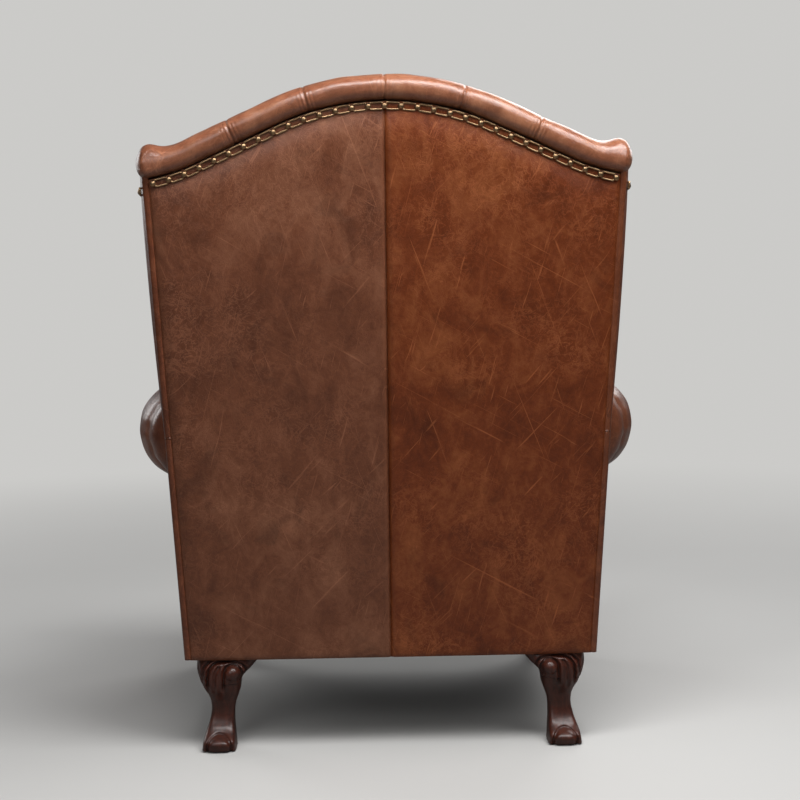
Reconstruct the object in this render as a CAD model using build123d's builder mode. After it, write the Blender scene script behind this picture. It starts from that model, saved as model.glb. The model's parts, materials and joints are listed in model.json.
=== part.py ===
from build123d import *
from math import atan2, cos, degrees, radians, sin, tan
import os

os.makedirs("parts", exist_ok=True)

# A wing chair with a camel-shaped crest, rolled arms, carved legs and a loose seat cushion.
# Millimetres. The floor is at zero height, the front faces -Y, and the sitter's left is +X.

# Body of the chair
leg_height = 158
base_half_width = 347
front_half_width = 379
shoulder_half_width = 382
shoulder_height = 950
back_foot_y = 262
shoulder_y = 372
front_face_y = -372

# Crest line, which the nails follow
crest_height = 1073
crest_radius = 415
crest_slope = 24.5
crest_straight = 139
shoulder_radius = 313
shoulder_slope = 8

# Frame boards
board = 28
post_depth = 40
front_rail_thickness = 32
seat_rail_height = 110
stump_width = 65
arm_rail_height = 30
arm_rail_drop = 11
crest_rail_foot = 860
crest_rail_arch = 45
stuffing_rail_foot = 338
stuffing_rail_height = 50

# Wing outline: each size is measured ahead of the rear face of the back, or above the floor
wing_top = 978
wing_top_front = 235
wing_neck_front = 178
wing_neck_height = 775
wing_foot_front = 275
wing_corner_radius = 70
wing_neck_radius = 260
wing_board = 50
wing_rim = 28
wing_pad = 42
wing_inner_round = 24
wing_outer_round = 12

# Arm: the round of the arm at the back post, at its bend and at the front
roll_rear_y = 300
roll_bend_y = 50
roll_rear_reach = 389
roll_bend_reach = 431
roll_front_reach = 433
roll_rear_radius = 66
roll_bend_radius = 73
roll_front_radius = 74
roll_height = 541
arm_pad = 76
facing_thickness = 10
facing_round = 4

# Covers, padding and clearances
skin = 4
skin_round = 1.5
wrap = 6
clearance = 0.3
overrun = 50
tolerance = 0.01

# Roll over the crest
trim_width = 14.5
crest_roll_height = 40
crest_roll_overhang = 15
crest_roll_side = 12
crest_roll_round = 19
crest_roll_low_round = 9
pleat_pitch = 116
pleats_each_side = 2
pleat_width = 2
pleat_depth = 2.5

# Inside back and its buttons
web_thickness = 1.5
web_width = 50
web_columns = 4
web_column_pitch = 116
web_rows = 5
web_row_pitch = 95
web_first_row = 430
back_pad = 85
back_lumbar_height = 480
back_lumbar_swell = 9
back_top_rise = 28
back_top_thickness = 70
back_rim_round = 22
button_pitch = 116
button_row_pitch = 95
button_first_row = 580
button_rows = 5
button_columns = 5
button_radius = 9
button_height = 5
button_edge_round = 2.5
pocket_floor = 48
pocket_radius = 12
pocket_mouth_radius = 36

# Seat springs and deck
spring_wire = 4
spring_count = 5
spring_pitch = 92
spring_half_width = 22
spring_step = 24
spring_bend = 10.5
spring_lead = 20
clip_width = 16
clip_depth = 18
clip_wall = 2.2
hessian = 1.5
deck_top = 330
deck_cover = 2
border_thickness = 6
dust_cover = 1

# Corner blocks, hanger bolts and screws
block_reach = 90
block_lift = 7
block_height = 40
bolt_radius = 4
bolt_length = 90
bolt_in_leg = 34
bolt_nut_width = 13
bolt_nut_height = 6.5
screw_radius = 2.5
screw_length = 62
screw_head_radius = 5
screw_head_height = 3.5
screw_from_corner = 13
screw_seat = 40
screw_level = 20
screw_spread = 15

# Legs: foot width and depth, and where the foot stands
leg_width = 58
leg_depth = 56
rear_leg_x = 296
rear_leg_y = 232
front_leg_x = 328
front_leg_y = -350
bolt_from_leg_x = 13
bolt_from_leg_y = 40
volute_radius = 13
volute_from_axis = 22
volute_level = 128
volute_reach = 41
volute_ring = 3
volute_groove = 1.5
glide_height = 3
glide_radius = 12
glide_from_axis = 18
# Outlines of a leg, as shares of foot width or depth, and of leg height
leg_outer_shares = [
    (0.62, 1.0), (0.65, 0.9), (0.52, 0.7), (0.29, 0.54),
    (0.24, 0.44), (0.3, 0.28), (0.44, 0.12), (0.5, 0.0),
]
leg_inner_shares = [
    (-0.5, 0.0), (-0.47, 0.12), (-0.43, 0.28), (-0.46, 0.44),
    (-0.62, 0.62), (-0.74, 0.79), (-0.95, 0.87), (-1.26, 1.0),
]
leg_back_shares = [
    (0.54, 1.0), (0.68, 0.86), (0.62, 0.7), (0.33, 0.49),
    (0.28, 0.33), (0.55, 0.18), (0.92, 0.1), (0.86, 0.0),
]
leg_belly_shares = [
    (-0.18, 0.0), (-0.3, 0.14), (-0.4, 0.33), (-0.42, 0.52),
    (-0.6, 0.65), (-0.87, 0.76), (-0.97, 0.88), (-1.11, 1.0),
]

# Trim of open links and domed nails
nail_pitch = 26
nails_each_side = 15
nail_radius = 4.2
nail_dome = 2.6
link_window = 16.5
link_window_height = 7
link_window_round = 2.5
trim_thickness = 2
side_trim_inset = 33
facing_nail_pitch = 14
facing_nail_inset = 9
facing_nail_foot = 190

# Loose seat cushion
cushion_rear_half = 244
cushion_front_half = 272
cushion_rear_y = 147
cushion_front_y = -378
cushion_edge_height = 118
cushion_crown = 34
cushion_corner_round = 35
cushion_draw = 6
cushion_cover = 3
welt_radius = 4


# Everything is set out from the outer face of the left side, the rear face of the back and the
# level front plane. A side stands outward as it rises and as it comes forward.
foot = Vector(base_half_width, back_foot_y, leg_height)
shoulder = Vector(shoulder_half_width, shoulder_y, shoulder_height)
front_foot = Vector(front_half_width, front_face_y, leg_height)
side_normal = (front_foot - foot).cross(shoulder - foot)
side_plane = Plane(origin=foot, x_dir=front_foot - foot, z_dir=side_normal)
right_side_plane = Plane(
    origin=(-foot.X, foot.Y, foot.Z),
    x_dir=(foot.X - front_foot.X, front_foot.Y - foot.Y, 0),
    z_dir=(-side_normal.X, side_normal.Y, side_normal.Z),
)
rake = atan2(shoulder_y - back_foot_y, shoulder_height - leg_height)
back_plane = Plane(
    origin=(0, back_foot_y, leg_height),
    x_dir=(1, 0, 0),
    z_dir=(0, -cos(rake), sin(rake)),
)
back_profile = Plane(origin=back_plane.origin, x_dir=back_plane.z_dir, z_dir=(-1, 0, 0))
front_plane = Plane.XZ.offset(-front_face_y)

seat_rail_top = leg_height + seat_rail_height
arm_inner = board + arm_pad
wing_inner = board + wing_pad
deck_foot = seat_rail_top + spring_wire + clearance + clip_wall
reach = 3 * shoulder_height
arm_rail_top = roll_height - arm_rail_drop
roll_foot_rise = trim_width / 2
roll_top_rise = roll_foot_rise + crest_roll_height
nail_ball = (nail_radius**2 + nail_dome**2) / (2 * nail_dome)


def save(piece, name):
    """Name a finished piece and write it to its own file."""
    piece.label = name
    export_step(piece, f"parts/{name}.step")


def save_pair(piece, name):
    """Write a piece of the left side, and its mirror image for the right."""
    save(piece, f"{name}_left")
    with BuildPart() as twin:
        mirror(piece, about=Plane.YZ)
    save(twin.part, f"{name}_right")


def back_level(height):
    """Turn a height above the floor into a distance up the raked back."""
    return (height - leg_height) / cos(rake)


def side_spot(ahead, height):
    """Find a place on the side face, so far ahead of the back and so high above the floor."""
    share = (height - leg_height) / (shoulder_height - leg_height)
    on_back = side_plane.to_local_coords(foot + (shoulder - foot) * share)
    return (on_back.X + ahead, on_back.Y)


def side_x(depth, y, height):
    """Find how far from the middle a side lies, so deep under its outer face."""
    normal = side_plane.z_dir
    return foot.X + (depth - normal.Y * (y - foot.Y) - normal.Z * (height - foot.Z)) / normal.X


def keep_between(low, high):
    """Trim the piece in hand to the space between two levels."""
    split(bisect_by=Plane.XY.offset(low), keep=Keep.TOP)
    split(bisect_by=Plane.XY.offset(high), keep=Keep.BOTTOM)


def keep_ahead(depth):
    """Trim off what is less deep than this under the rear face of the back."""
    split(bisect_by=back_plane.offset(depth), keep=Keep.TOP)


def keep_behind(depth):
    """Trim off what is deeper than this under the rear face of the back."""
    split(bisect_by=back_plane.offset(depth), keep=Keep.BOTTOM)


def keep_within(depth):
    """Trim both ends to what is deeper than this under the outer faces of the sides."""
    split(bisect_by=side_plane.offset(depth), keep=Keep.TOP)
    split(bisect_by=right_side_plane.offset(depth), keep=Keep.TOP)


def side_slab(outer, inner):
    """Fill the left side between two depths under its outer face."""
    with BuildSketch(side_plane.offset(outer)) as face:
        Rectangle(reach, reach)
    extrude(face.sketch, amount=inner - outer)


def back_slab(rear, front):
    """Fill the back between two depths under its rear face."""
    with BuildSketch(back_plane.offset(rear)) as face:
        Rectangle(reach, reach)
    extrude(face.sketch, amount=front - rear)


def arm_round(grow, mode=Mode.ADD):
    """Loft the round of the arm through its three stations, grown by a clearance."""
    stations = (
        (roll_rear_y, roll_rear_reach, roll_rear_radius),
        (roll_bend_y, roll_bend_reach, roll_bend_radius),
        (front_face_y, roll_front_reach, roll_front_radius),
    )
    sections = []
    for y, outer, radius in stations:
        with BuildSketch(Plane.XZ.offset(-y)) as section:
            with Locations((outer - radius, roll_height)):
                Circle(radius + grow)
        sections.append(section.sketch)
    loft(sections, ruled=True, mode=mode)


def crest_half(rise):
    """Draw the left half of the crest line, raised by a rise: a round, a straight and a hollow."""
    steep = radians(crest_slope)
    top = Vector(0, back_level(crest_height) - crest_radius)
    up = Vector(sin(steep), cos(steep))
    along = Vector(cos(steep), -sin(steep))
    bend = top + up * crest_radius
    hollow = bend + along * crest_straight + up * shoulder_radius
    CenterArc(top, crest_radius + rise, 90, -crest_slope)
    Line(bend + up * rise, bend + along * crest_straight + up * rise)
    CenterArc(hollow, shoulder_radius - rise, 270 - crest_slope, crest_slope - shoulder_slope)
    flat = radians(shoulder_slope)
    tail = hollow - Vector(sin(flat), cos(flat)) * (shoulder_radius - rise)
    Line(tail, tail + Vector(cos(flat), -sin(flat)) * overrun)


def crest_region(rise, floor, mode=Mode.ADD, both=True):
    """Fill the area from a level up to the raised crest line, on one side or both."""
    with BuildLine() as outline:
        crest_half(rise)
        start = outline.vertices().sort_by(Axis.X)[0]
        end = outline.vertices().sort_by(Axis.X)[-1]
        Polyline((end.X, end.Y), (end.X, floor), (0, floor), (start.X, start.Y))
    half = make_face(outline.edges(), mode=mode)
    if both:
        mirror(half, about=Plane.YZ, mode=mode)


def wing_edge(grow, start):
    """Draw the top and front of a wing, grown outward, from a start behind or ahead."""
    return FilletPolyline(
        side_spot(start, wing_top + grow),
        side_spot(wing_top_front + grow, wing_top + grow),
        side_spot(wing_neck_front + grow, wing_neck_height),
        side_spot(wing_foot_front + grow, roll_height - roll_front_radius),
        radius=[wing_corner_radius + grow, wing_neck_radius - grow],
    )


def wing_face(grow):
    """Fill the wing's outline, grown forward and upward."""
    with BuildLine() as outline:
        edge = wing_edge(grow, -overrun)
        foot_rear = side_spot(-overrun, roll_height - roll_front_radius)
        Polyline(edge @ 1, foot_rear, edge @ 0)
    make_face(outline.edges())


def edges_at(plane):
    """List the edges of the piece in hand that lie in a plane."""
    return [
        edge
        for edge in edges()
        if all(abs(plane.to_local_coords(edge @ at).Z) < tolerance for at in (0, 0.5, 1))
    ]


def drill(plane, radius, length):
    """Bore a hole from a plane along its normal."""
    with BuildSketch(plane) as hole:
        Circle(radius)
    extrude(hole.sketch, amount=length, mode=Mode.SUBTRACT)


# Corner places shared by the blocks, bolts, screws and rails, on the left side
rear_inner_y = back_foot_y - post_depth
front_inner_y = front_face_y + front_rail_thickness
block_foot = leg_height + block_lift
block_top = block_foot + block_height
rear_corner = Vector(side_x(board, rear_inner_y, block_foot), rear_inner_y, block_foot)
front_corner = Vector(side_x(board, front_inner_y, block_foot), front_inner_y, block_foot)


def screw_planes(corner, back_sign):
    """Place the heads of a block's two screws: one into the end rail, one into the side."""
    into_end = Plane(
        origin=corner
        + Vector(-screw_from_corner, -back_sign * screw_seat, screw_level - screw_spread / 2),
        z_dir=(0, back_sign, 0),
    )
    into_side = Plane(
        origin=corner
        + Vector(-screw_seat, -back_sign * screw_from_corner, screw_level + screw_spread / 2),
        z_dir=(1, 0, 0),
    )
    return into_end, into_side


rear_screws = screw_planes(rear_corner, 1)
front_screws = screw_planes(front_corner, -1)


# Frame of the back
with BuildPart() as rear_post:
    side_slab(0, board)
    keep_ahead(0)
    keep_behind(post_depth)
    keep_between(leg_height, crest_rail_foot)
save_pair(rear_post.part, "rear_post")

with BuildPart() as crest_rail:
    with BuildSketch(back_plane):
        crest_region(roll_foot_rise - clearance, back_level(crest_rail_foot) - overrun)
    extrude(amount=post_depth)
    keep_within(0)
    keep_between(crest_rail_foot, reach)
    with BuildSketch(back_plane):
        with BuildLine():
            arch_half = shoulder_half_width - 2 * board
            arch = ThreePointArc(
                (-arch_half, back_level(crest_rail_foot)),
                (0, back_level(crest_rail_foot + crest_rail_arch)),
                (arch_half, back_level(crest_rail_foot)),
            )
            Polyline(
                arch @ 0,
                (-arch_half, back_level(crest_rail_foot) - board),
                (arch_half, back_level(crest_rail_foot) - board),
                arch @ 1,
            )
        make_face()
    extrude(amount=post_depth, mode=Mode.SUBTRACT)
save(crest_rail.part, "crest_rail")

with BuildPart() as back_stuffing_rail:
    back_slab(0, post_depth)
    keep_within(board)
    keep_between(stuffing_rail_foot, stuffing_rail_foot + stuffing_rail_height)
save(back_stuffing_rail.part, "back_stuffing_rail")

# Seat rails, with the holes for the screws of the corner blocks
with BuildPart() as end_holes:
    for plane in (rear_screws[0], front_screws[0]):
        with BuildSketch(plane):
            Circle(screw_radius + clearance)
    extrude(amount=screw_length + clearance)
    mirror(about=Plane.YZ)

with BuildPart() as rear_seat_rail:
    back_slab(0, post_depth)
    keep_within(board)
    keep_between(leg_height, seat_rail_top)
    add(end_holes.part, mode=Mode.SUBTRACT)
save(rear_seat_rail.part, "rear_seat_rail")

with BuildPart() as front_seat_rail:
    with BuildSketch(front_plane):
        Rectangle(reach, reach)
    extrude(amount=-front_rail_thickness)
    keep_within(board)
    keep_between(leg_height, seat_rail_top)
    add(end_holes.part, mode=Mode.SUBTRACT)
save(front_seat_rail.part, "front_seat_rail")

stump_rear = front_plane.offset(-stump_width)

with BuildPart() as side_seat_rail:
    side_slab(0, board)
    keep_ahead(post_depth)
    split(bisect_by=stump_rear, keep=Keep.BOTTOM)
    keep_between(leg_height, seat_rail_top)
    drill(rear_screws[1], screw_radius + clearance, screw_length + clearance)
save_pair(side_seat_rail.part, "side_seat_rail")

# Frame of an arm and a wing
with BuildPart() as arm_stump:
    side_slab(0, board)
    split(bisect_by=front_plane, keep=Keep.BOTTOM)
    split(bisect_by=stump_rear, keep=Keep.TOP)
    keep_between(leg_height, arm_rail_top)
    drill(front_screws[1], screw_radius + clearance, screw_length + clearance)
save_pair(arm_stump.part, "arm_stump")

with BuildPart() as arm_rail:
    side_slab(0, board)
    keep_ahead(post_depth)
    split(bisect_by=stump_rear, keep=Keep.BOTTOM)
    keep_between(arm_rail_top - arm_rail_height, arm_rail_top)
save_pair(arm_rail.part, "arm_rail")


def wing_frame():
    """Fill the band of board that edges the wing, ahead of the back post."""
    with BuildSketch(side_plane) as band:
        wing_face(0)
    extrude(band.sketch, amount=board)
    with BuildSketch(side_plane) as opening:
        wing_face(-wing_board)
    extrude(opening.sketch, amount=board, mode=Mode.SUBTRACT)
    keep_ahead(post_depth)


with BuildPart() as wing_post:
    wing_frame()
    keep_between(arm_rail_top, wing_top - wing_board)
save_pair(wing_post.part, "wing_post")

with BuildPart() as wing_rail:
    wing_frame()
    keep_between(wing_top - wing_board, reach)
save_pair(wing_rail.part, "wing_rail")


# Corner blocks, with the holes for their screws and for the hanger bolt of the leg below
def corner_block(corner, back_sign, screws, bolt):
    """Cut one corner block on the left side, between an end rail and the side."""
    with BuildSketch(Plane.XY.offset(block_foot)) as base:
        with Locations((corner.X, corner.Y)):
            Rectangle(2 * block_reach, 2 * block_reach)
    extrude(base.sketch, amount=block_height)
    split(bisect_by=side_plane.offset(board), keep=Keep.TOP)
    if back_sign > 0:
        keep_ahead(post_depth)
    else:
        split(bisect_by=front_plane.offset(-front_rail_thickness), keep=Keep.BOTTOM)
    diagonal = Plane(origin=corner - Vector(block_reach, 0, 0), z_dir=(1, back_sign, 0))
    split(bisect_by=diagonal, keep=Keep.TOP)
    for screw in screws:
        drill(screw, screw_radius + clearance, screw_length)
        drill(screw, screw_head_radius + clearance, -block_reach)
    bolt_hole = Plane.XY.offset(block_foot).shift_origin((bolt[0], bolt[1], block_foot))
    drill(bolt_hole, bolt_radius + clearance, block_height)


rear_bolt = (rear_leg_x - bolt_from_leg_x, rear_leg_y - bolt_from_leg_y)
front_bolt = (front_leg_x - bolt_from_leg_x, front_leg_y + bolt_from_leg_y)

with BuildPart() as rear_blocks:
    corner_block(rear_corner, 1, rear_screws, rear_bolt)
    mirror(about=Plane.YZ)
save(rear_blocks.part, "rear_corner_blocks")

with BuildPart() as front_blocks:
    corner_block(front_corner, -1, front_screws, front_bolt)
    mirror(about=Plane.YZ)
save(front_blocks.part, "front_corner_blocks")

with BuildPart() as block_screws:
    for plane in (*rear_screws, *front_screws):
        with BuildSketch(plane):
            Circle(screw_radius)
        extrude(amount=screw_length)
        with BuildSketch(plane):
            Circle(screw_head_radius)
        extrude(amount=-screw_head_height)
    mirror(about=Plane.YZ)
save(block_screws.part, "block_screws")

bolt_places = [
    (side * x, y)
    for side in (1, -1)
    for x, y in (rear_bolt, front_bolt)
]

with BuildPart() as leg_bolts:
    with BuildSketch(Plane.XY.offset(leg_height - bolt_in_leg)):
        with Locations(*bolt_places):
            Circle(bolt_radius)
    extrude(amount=bolt_length)
    with BuildSketch(Plane.XY.offset(block_top)):
        with Locations(*bolt_places):
            RegularPolygon(bolt_nut_width / 2, 6, major_radius=False)
    extrude(amount=bolt_nut_height)
save(leg_bolts.part, "leg_bolts")


# Legs: one blank, with the foot under its axis and its scroll towards +Y
def leg_outline(shares_a, shares_b, width):
    """Fill an outline between two contours, given as shares of a width and of the leg height."""
    tall = leg_height - glide_height
    first = [(side * width, glide_height + up * tall) for side, up in shares_a]
    second = [(side * width, glide_height + up * tall) for side, up in shares_b]
    with BuildLine() as outline:
        outer = Spline(*first)
        inner = Spline(*second)
        Line(outer @ 1, inner @ 0)
        Line(inner @ 1, outer @ 0)
    make_face(outline.edges())


with BuildPart() as leg_blank:
    with BuildSketch(Plane.XZ):
        leg_outline(leg_outer_shares, leg_inner_shares, leg_width)
    extrude(amount=reach, both=True)
    with BuildSketch(Plane.YZ):
        leg_outline(leg_back_shares, leg_belly_shares, leg_depth)
    extrude(amount=reach, both=True, mode=Mode.INTERSECT)
    with BuildSketch(Plane.XZ):
        with Locations((-volute_from_axis, volute_level)):
            Circle(volute_radius)
    extrude(amount=-volute_reach)
    volute_face = Plane.XZ.offset(-volute_reach)
    with BuildSketch(volute_face):
        with Locations((-volute_from_axis, volute_level)):
            Circle(volute_radius - volute_ring)
            Circle(volute_radius - 2 * volute_ring, mode=Mode.SUBTRACT)
    extrude(amount=volute_groove, mode=Mode.SUBTRACT)
    bolt_mouth = Plane(origin=(-bolt_from_leg_x, -bolt_from_leg_y, leg_height))
    drill(bolt_mouth, bolt_radius + clearance, -bolt_in_leg - clearance)

with BuildPart() as rear_leg:
    with Locations((rear_leg_x, rear_leg_y)):
        add(leg_blank.part)
save_pair(rear_leg.part, "rear_leg")

with BuildPart() as front_blank:
    mirror(leg_blank.part, about=Plane.XZ)

with BuildPart() as front_leg:
    with Locations((front_leg_x, front_leg_y)):
        add(front_blank.part)
save_pair(front_leg.part, "front_leg")

with BuildPart() as foot_glides:
    with BuildSketch(Plane.XY):
        with Locations(
            *[
                (side * x, y)
                for side in (1, -1)
                for x, y in (
                    (rear_leg_x, rear_leg_y + glide_from_axis),
                    (front_leg_x, front_leg_y - glide_from_axis),
                )
            ]
        ):
            Circle(glide_radius)
    extrude(amount=glide_height)
save(foot_glides.part, "foot_glides")

# Seat springs run from the front rail to the rear rail, and a clip holds each end
spring_level = seat_rail_top + spring_wire / 2 + clearance
spring_front = front_face_y + front_rail_thickness / 2
spring_rear = back_foot_y + seat_rail_height * tan(rake) - post_depth / (2 * cos(rake))
spring_run = spring_rear - spring_front - 2 * spring_lead
spring_bars = 2 * int(spring_run / spring_step / 2) + 1
spring_xs = [(i - (spring_count - 1) / 2) * spring_pitch for i in range(spring_count)]

spring_points = [(0, spring_front)]
for bar in range(spring_bars):
    side = spring_half_width if bar % 2 == 0 else -spring_half_width
    y = spring_front + spring_lead + bar * spring_run / (spring_bars - 1)
    spring_points.append((0 if bar == 0 else -side, y))
    spring_points.append((0 if bar == spring_bars - 1 else side, y))
spring_points.append((0, spring_rear))

with BuildPart() as one_spring:
    with BuildLine(Plane.XY.offset(spring_level)) as wire_path:
        FilletPolyline(*spring_points, radius=spring_bend)
    with BuildSketch(Plane(origin=wire_path.line @ 0, z_dir=wire_path.line % 0)):
        Circle(spring_wire / 2)
    sweep(path=wire_path.line)

with BuildPart() as seat_springs:
    with Locations(*[(x, 0) for x in spring_xs]):
        add(one_spring.part)
save(seat_springs.part, "seat_springs")

clip_places = [(x, y) for x in spring_xs for y in (spring_front, spring_rear)]

with BuildPart() as spring_clips:
    with BuildSketch(Plane.XY.offset(seat_rail_top)):
        with Locations(*clip_places):
            Rectangle(clip_width, clip_depth)
    extrude(amount=deck_foot - seat_rail_top)
    with BuildSketch(Plane.XZ):
        with Locations(*[(x, spring_level) for x in spring_xs]):
            Circle(spring_wire / 2 + clearance)
            Rectangle(
                spring_wire + 2 * clearance, spring_wire, align=(Align.CENTER, Align.MAX)
            )
    extrude(amount=reach, both=True, mode=Mode.SUBTRACT)
save(spring_clips.part, "spring_clips")


# Seat deck over the springs
def seat_layer(low, high, depth):
    """Fill one level layer of the seat, between the arms or sides, ahead of the back."""
    with BuildSketch(Plane.XY.offset(low)) as sheet:
        Rectangle(reach, reach)
    extrude(sheet.sketch, amount=high - low)
    keep_within(depth)
    keep_ahead(post_depth)
    split(bisect_by=front_plane, keep=Keep.BOTTOM)


with BuildPart() as seat_hessian:
    seat_layer(deck_foot, deck_foot + hessian, board)
save(seat_hessian.part, "seat_hessian")

with BuildPart() as seat_deck_pad:
    seat_layer(deck_foot + hessian, deck_top, arm_inner)
save(seat_deck_pad.part, "seat_deck_pad")

with BuildPart() as seat_deck_cover:
    seat_layer(deck_top, deck_top + deck_cover, arm_inner)
save(seat_deck_cover.part, "seat_deck_cover")

with BuildPart() as front_border:
    with BuildSketch(front_plane):
        Rectangle(reach, reach)
    extrude(amount=border_thickness)
    keep_within(arm_inner + 2 * clearance)
    keep_between(leg_height, deck_top + deck_cover)
    fillet(edges_at(front_plane.offset(border_thickness)), skin_round)
save(front_border.part, "front_border")

dust_cover_front = front_plane.offset(-board / 2)

with BuildPart() as dust_cover_sheet:
    with BuildSketch(Plane.XY.offset(leg_height - dust_cover)):
        Rectangle(reach, reach)
    extrude(amount=dust_cover)
    keep_within(board / 2)
    keep_ahead(board / 2)
    split(bisect_by=dust_cover_front, keep=Keep.BOTTOM)
    for leg in (rear_leg, front_leg):
        top = leg.faces().sort_by(Axis.Z)[-1].bounding_box()
        with BuildSketch(Plane.XY.offset(leg_height - dust_cover)):
            for side in (1, -1):
                with Locations((side * top.center().X, top.center().Y)):
                    Rectangle(top.size.X + 2 * dust_cover, top.size.Y + 2 * dust_cover)
        extrude(amount=dust_cover, mode=Mode.SUBTRACT)
save(dust_cover_sheet.part, "dust_cover")

# Webbing across the opening of the back frame
with BuildPart() as back_webbing:
    with BuildSketch(back_plane.offset(post_depth - web_thickness)):
        for column in range(web_columns):
            x = (column - (web_columns - 1) / 2) * web_column_pitch
            with Locations((x, 0)):
                Rectangle(web_width, reach)
    extrude(amount=web_thickness)
    keep_between(stuffing_rail_foot + stuffing_rail_height, crest_rail_foot + 2 * crest_rail_arch)
    add(crest_rail.part, mode=Mode.SUBTRACT)
    with BuildSketch(back_plane.offset(post_depth - 2 * web_thickness)) as rows:
        for row in range(web_rows):
            with Locations((0, back_level(web_first_row + row * web_row_pitch))):
                Rectangle(reach, web_width)
    extrude(amount=web_thickness)
    keep_within(board)
save(back_webbing.part, "back_webbing")

# What the soft pieces of an arm leave free for each other, on both sides
with BuildPart() as arm_block:
    side_slab(board, arm_inner)
    keep_between(0, roll_height)
    mirror(about=Plane.YZ)

with BuildPart() as arm_envelope:
    arm_round(clearance)
    keep_ahead(post_depth)
    mirror(about=Plane.YZ)

# Arm: the round with its slot for the frame, the pad inside it and the facing before it
with BuildPart() as arm_frame_slot:
    side_slab(0, board)
    keep_between(0, arm_rail_top)
    with BuildSketch(side_plane):
        wing_face(0)
    extrude(amount=board)

with BuildPart() as arm_roll:
    arm_round(0)
    keep_ahead(post_depth)
    add(arm_frame_slot.part, mode=Mode.SUBTRACT)
save_pair(arm_roll.part, "arm_roll")

with BuildPart() as inside_arm:
    side_slab(board, arm_inner)
    keep_between(deck_foot + hessian, roll_height)
    keep_ahead(post_depth)
    split(bisect_by=front_plane, keep=Keep.BOTTOM)
    add(arm_envelope.part, mode=Mode.SUBTRACT)
save_pair(inside_arm.part, "inside_arm")


def facing_outline():
    """Fill the front of an arm: its round, and the panel below it."""
    with Locations((roll_front_reach - roll_front_radius, roll_height)):
        Circle(roll_front_radius)
    Polygon(
        (side_x(-skin, front_face_y, leg_height), leg_height),
        (side_x(-skin, front_face_y, roll_height), roll_height),
        (side_x(arm_inner, front_face_y, roll_height), roll_height),
        (side_x(arm_inner, front_face_y, leg_height), leg_height),
    )


facing_front = front_plane.offset(facing_thickness)

with BuildPart() as arm_facing:
    with BuildSketch(front_plane):
        facing_outline()
    extrude(amount=facing_thickness)
    fillet(edges_at(facing_front), facing_round)
save_pair(arm_facing.part, "arm_facing")

# Wing: a pad over the inner face and round the edge of the frame
with BuildPart() as inside_wing:
    with BuildSketch(side_plane):
        wing_face(wing_rim)
    extrude(amount=wing_inner)
    rim_foot = side_spot(0, roll_height)[1]
    inner_edges = [
        edge
        for edge in edges_at(side_plane.offset(wing_inner))
        if side_plane.to_local_coords(edge @ 0.5).X > 0
        and side_plane.to_local_coords(edge @ 0.5).Y > rim_foot
    ]
    fillet(inner_edges, wing_inner_round)
    outer_edges = [
        edge
        for edge in edges_at(side_plane)
        if side_plane.to_local_coords(edge @ 0.5).X > 0
        and side_plane.to_local_coords(edge @ 0.5).Y > rim_foot
    ]
    fillet(outer_edges, wing_outer_round)
    with BuildSketch(side_plane):
        wing_face(0)
    extrude(amount=board, mode=Mode.SUBTRACT)
    keep_ahead(post_depth)
    keep_between(roll_height, reach)
    add(arm_envelope.part, mode=Mode.SUBTRACT)
save_pair(inside_wing.part, "inside_wing")

# Roll along the crest, with grooves where its pleats are
with BuildPart() as crest_block:
    with BuildSketch(back_plane.offset(-overrun)):
        crest_region(roll_top_rise + overrun, 0)
        crest_region(roll_foot_rise, 0, mode=Mode.SUBTRACT)
    extrude(amount=overrun + post_depth)


with BuildLine() as crest_curve:
    crest_half(0)
crest_wire = Wire(crest_curve.edges())


def crest_roll(inset):
    """Sweep the roll from the middle of the crest past its left end, shrunk by an inset."""
    middle = (
        (post_depth - crest_roll_overhang) / 2,
        back_level(crest_height) + (roll_foot_rise + roll_top_rise) / 2,
    )
    with BuildSketch(back_profile) as section:
        with Locations(middle):
            Rectangle(post_depth + crest_roll_overhang - 2 * inset, crest_roll_height - 2 * inset)
        rear = section.vertices().sort_by(Axis.X)[:2].sort_by(Axis.Y)
        fillet(rear[0], crest_roll_low_round - inset)
        rear = section.vertices().sort_by(Axis.X)[:3].sort_by(Axis.Y)
        fillet(rear[-1], crest_roll_round - inset)
    sweep(section.sketch, path=crest_wire.moved(back_plane.location))
    mirror(about=Plane.YZ)
    keep_within(-skin - crest_roll_side)


with BuildPart() as roll_core:
    crest_roll(pleat_depth)

with BuildPart() as pleats:
    with BuildSketch(back_plane.offset(-crest_roll_overhang)):
        for pleat in range(-pleats_each_side, pleats_each_side + 1):
            with Locations((pleat * pleat_pitch, back_level(crest_height))):
                Rectangle(pleat_width, crest_radius)
    extrude(amount=crest_roll_overhang + post_depth)
    add(roll_core.part, mode=Mode.SUBTRACT)

with BuildPart() as top_roll:
    crest_roll(0)
    add(pleats.part, mode=Mode.SUBTRACT)
save(top_roll.part, "top_roll")

# Inside back, buttoned in diamonds
back_front_mid = Vector(post_depth + back_pad + back_lumbar_swell, back_level(back_lumbar_height))
back_foot_level = back_level(deck_top + deck_cover)
back_top_level = back_level(crest_height) + back_top_rise
button_floor = back_plane.offset(post_depth + pocket_floor)
button_places = []
for row in range(button_rows):
    count = button_columns - row % 2
    for column in range(count):
        x = (column - (count - 1) / 2) * button_pitch
        button_places.append((x, back_level(button_first_row + row * button_row_pitch)))

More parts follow.
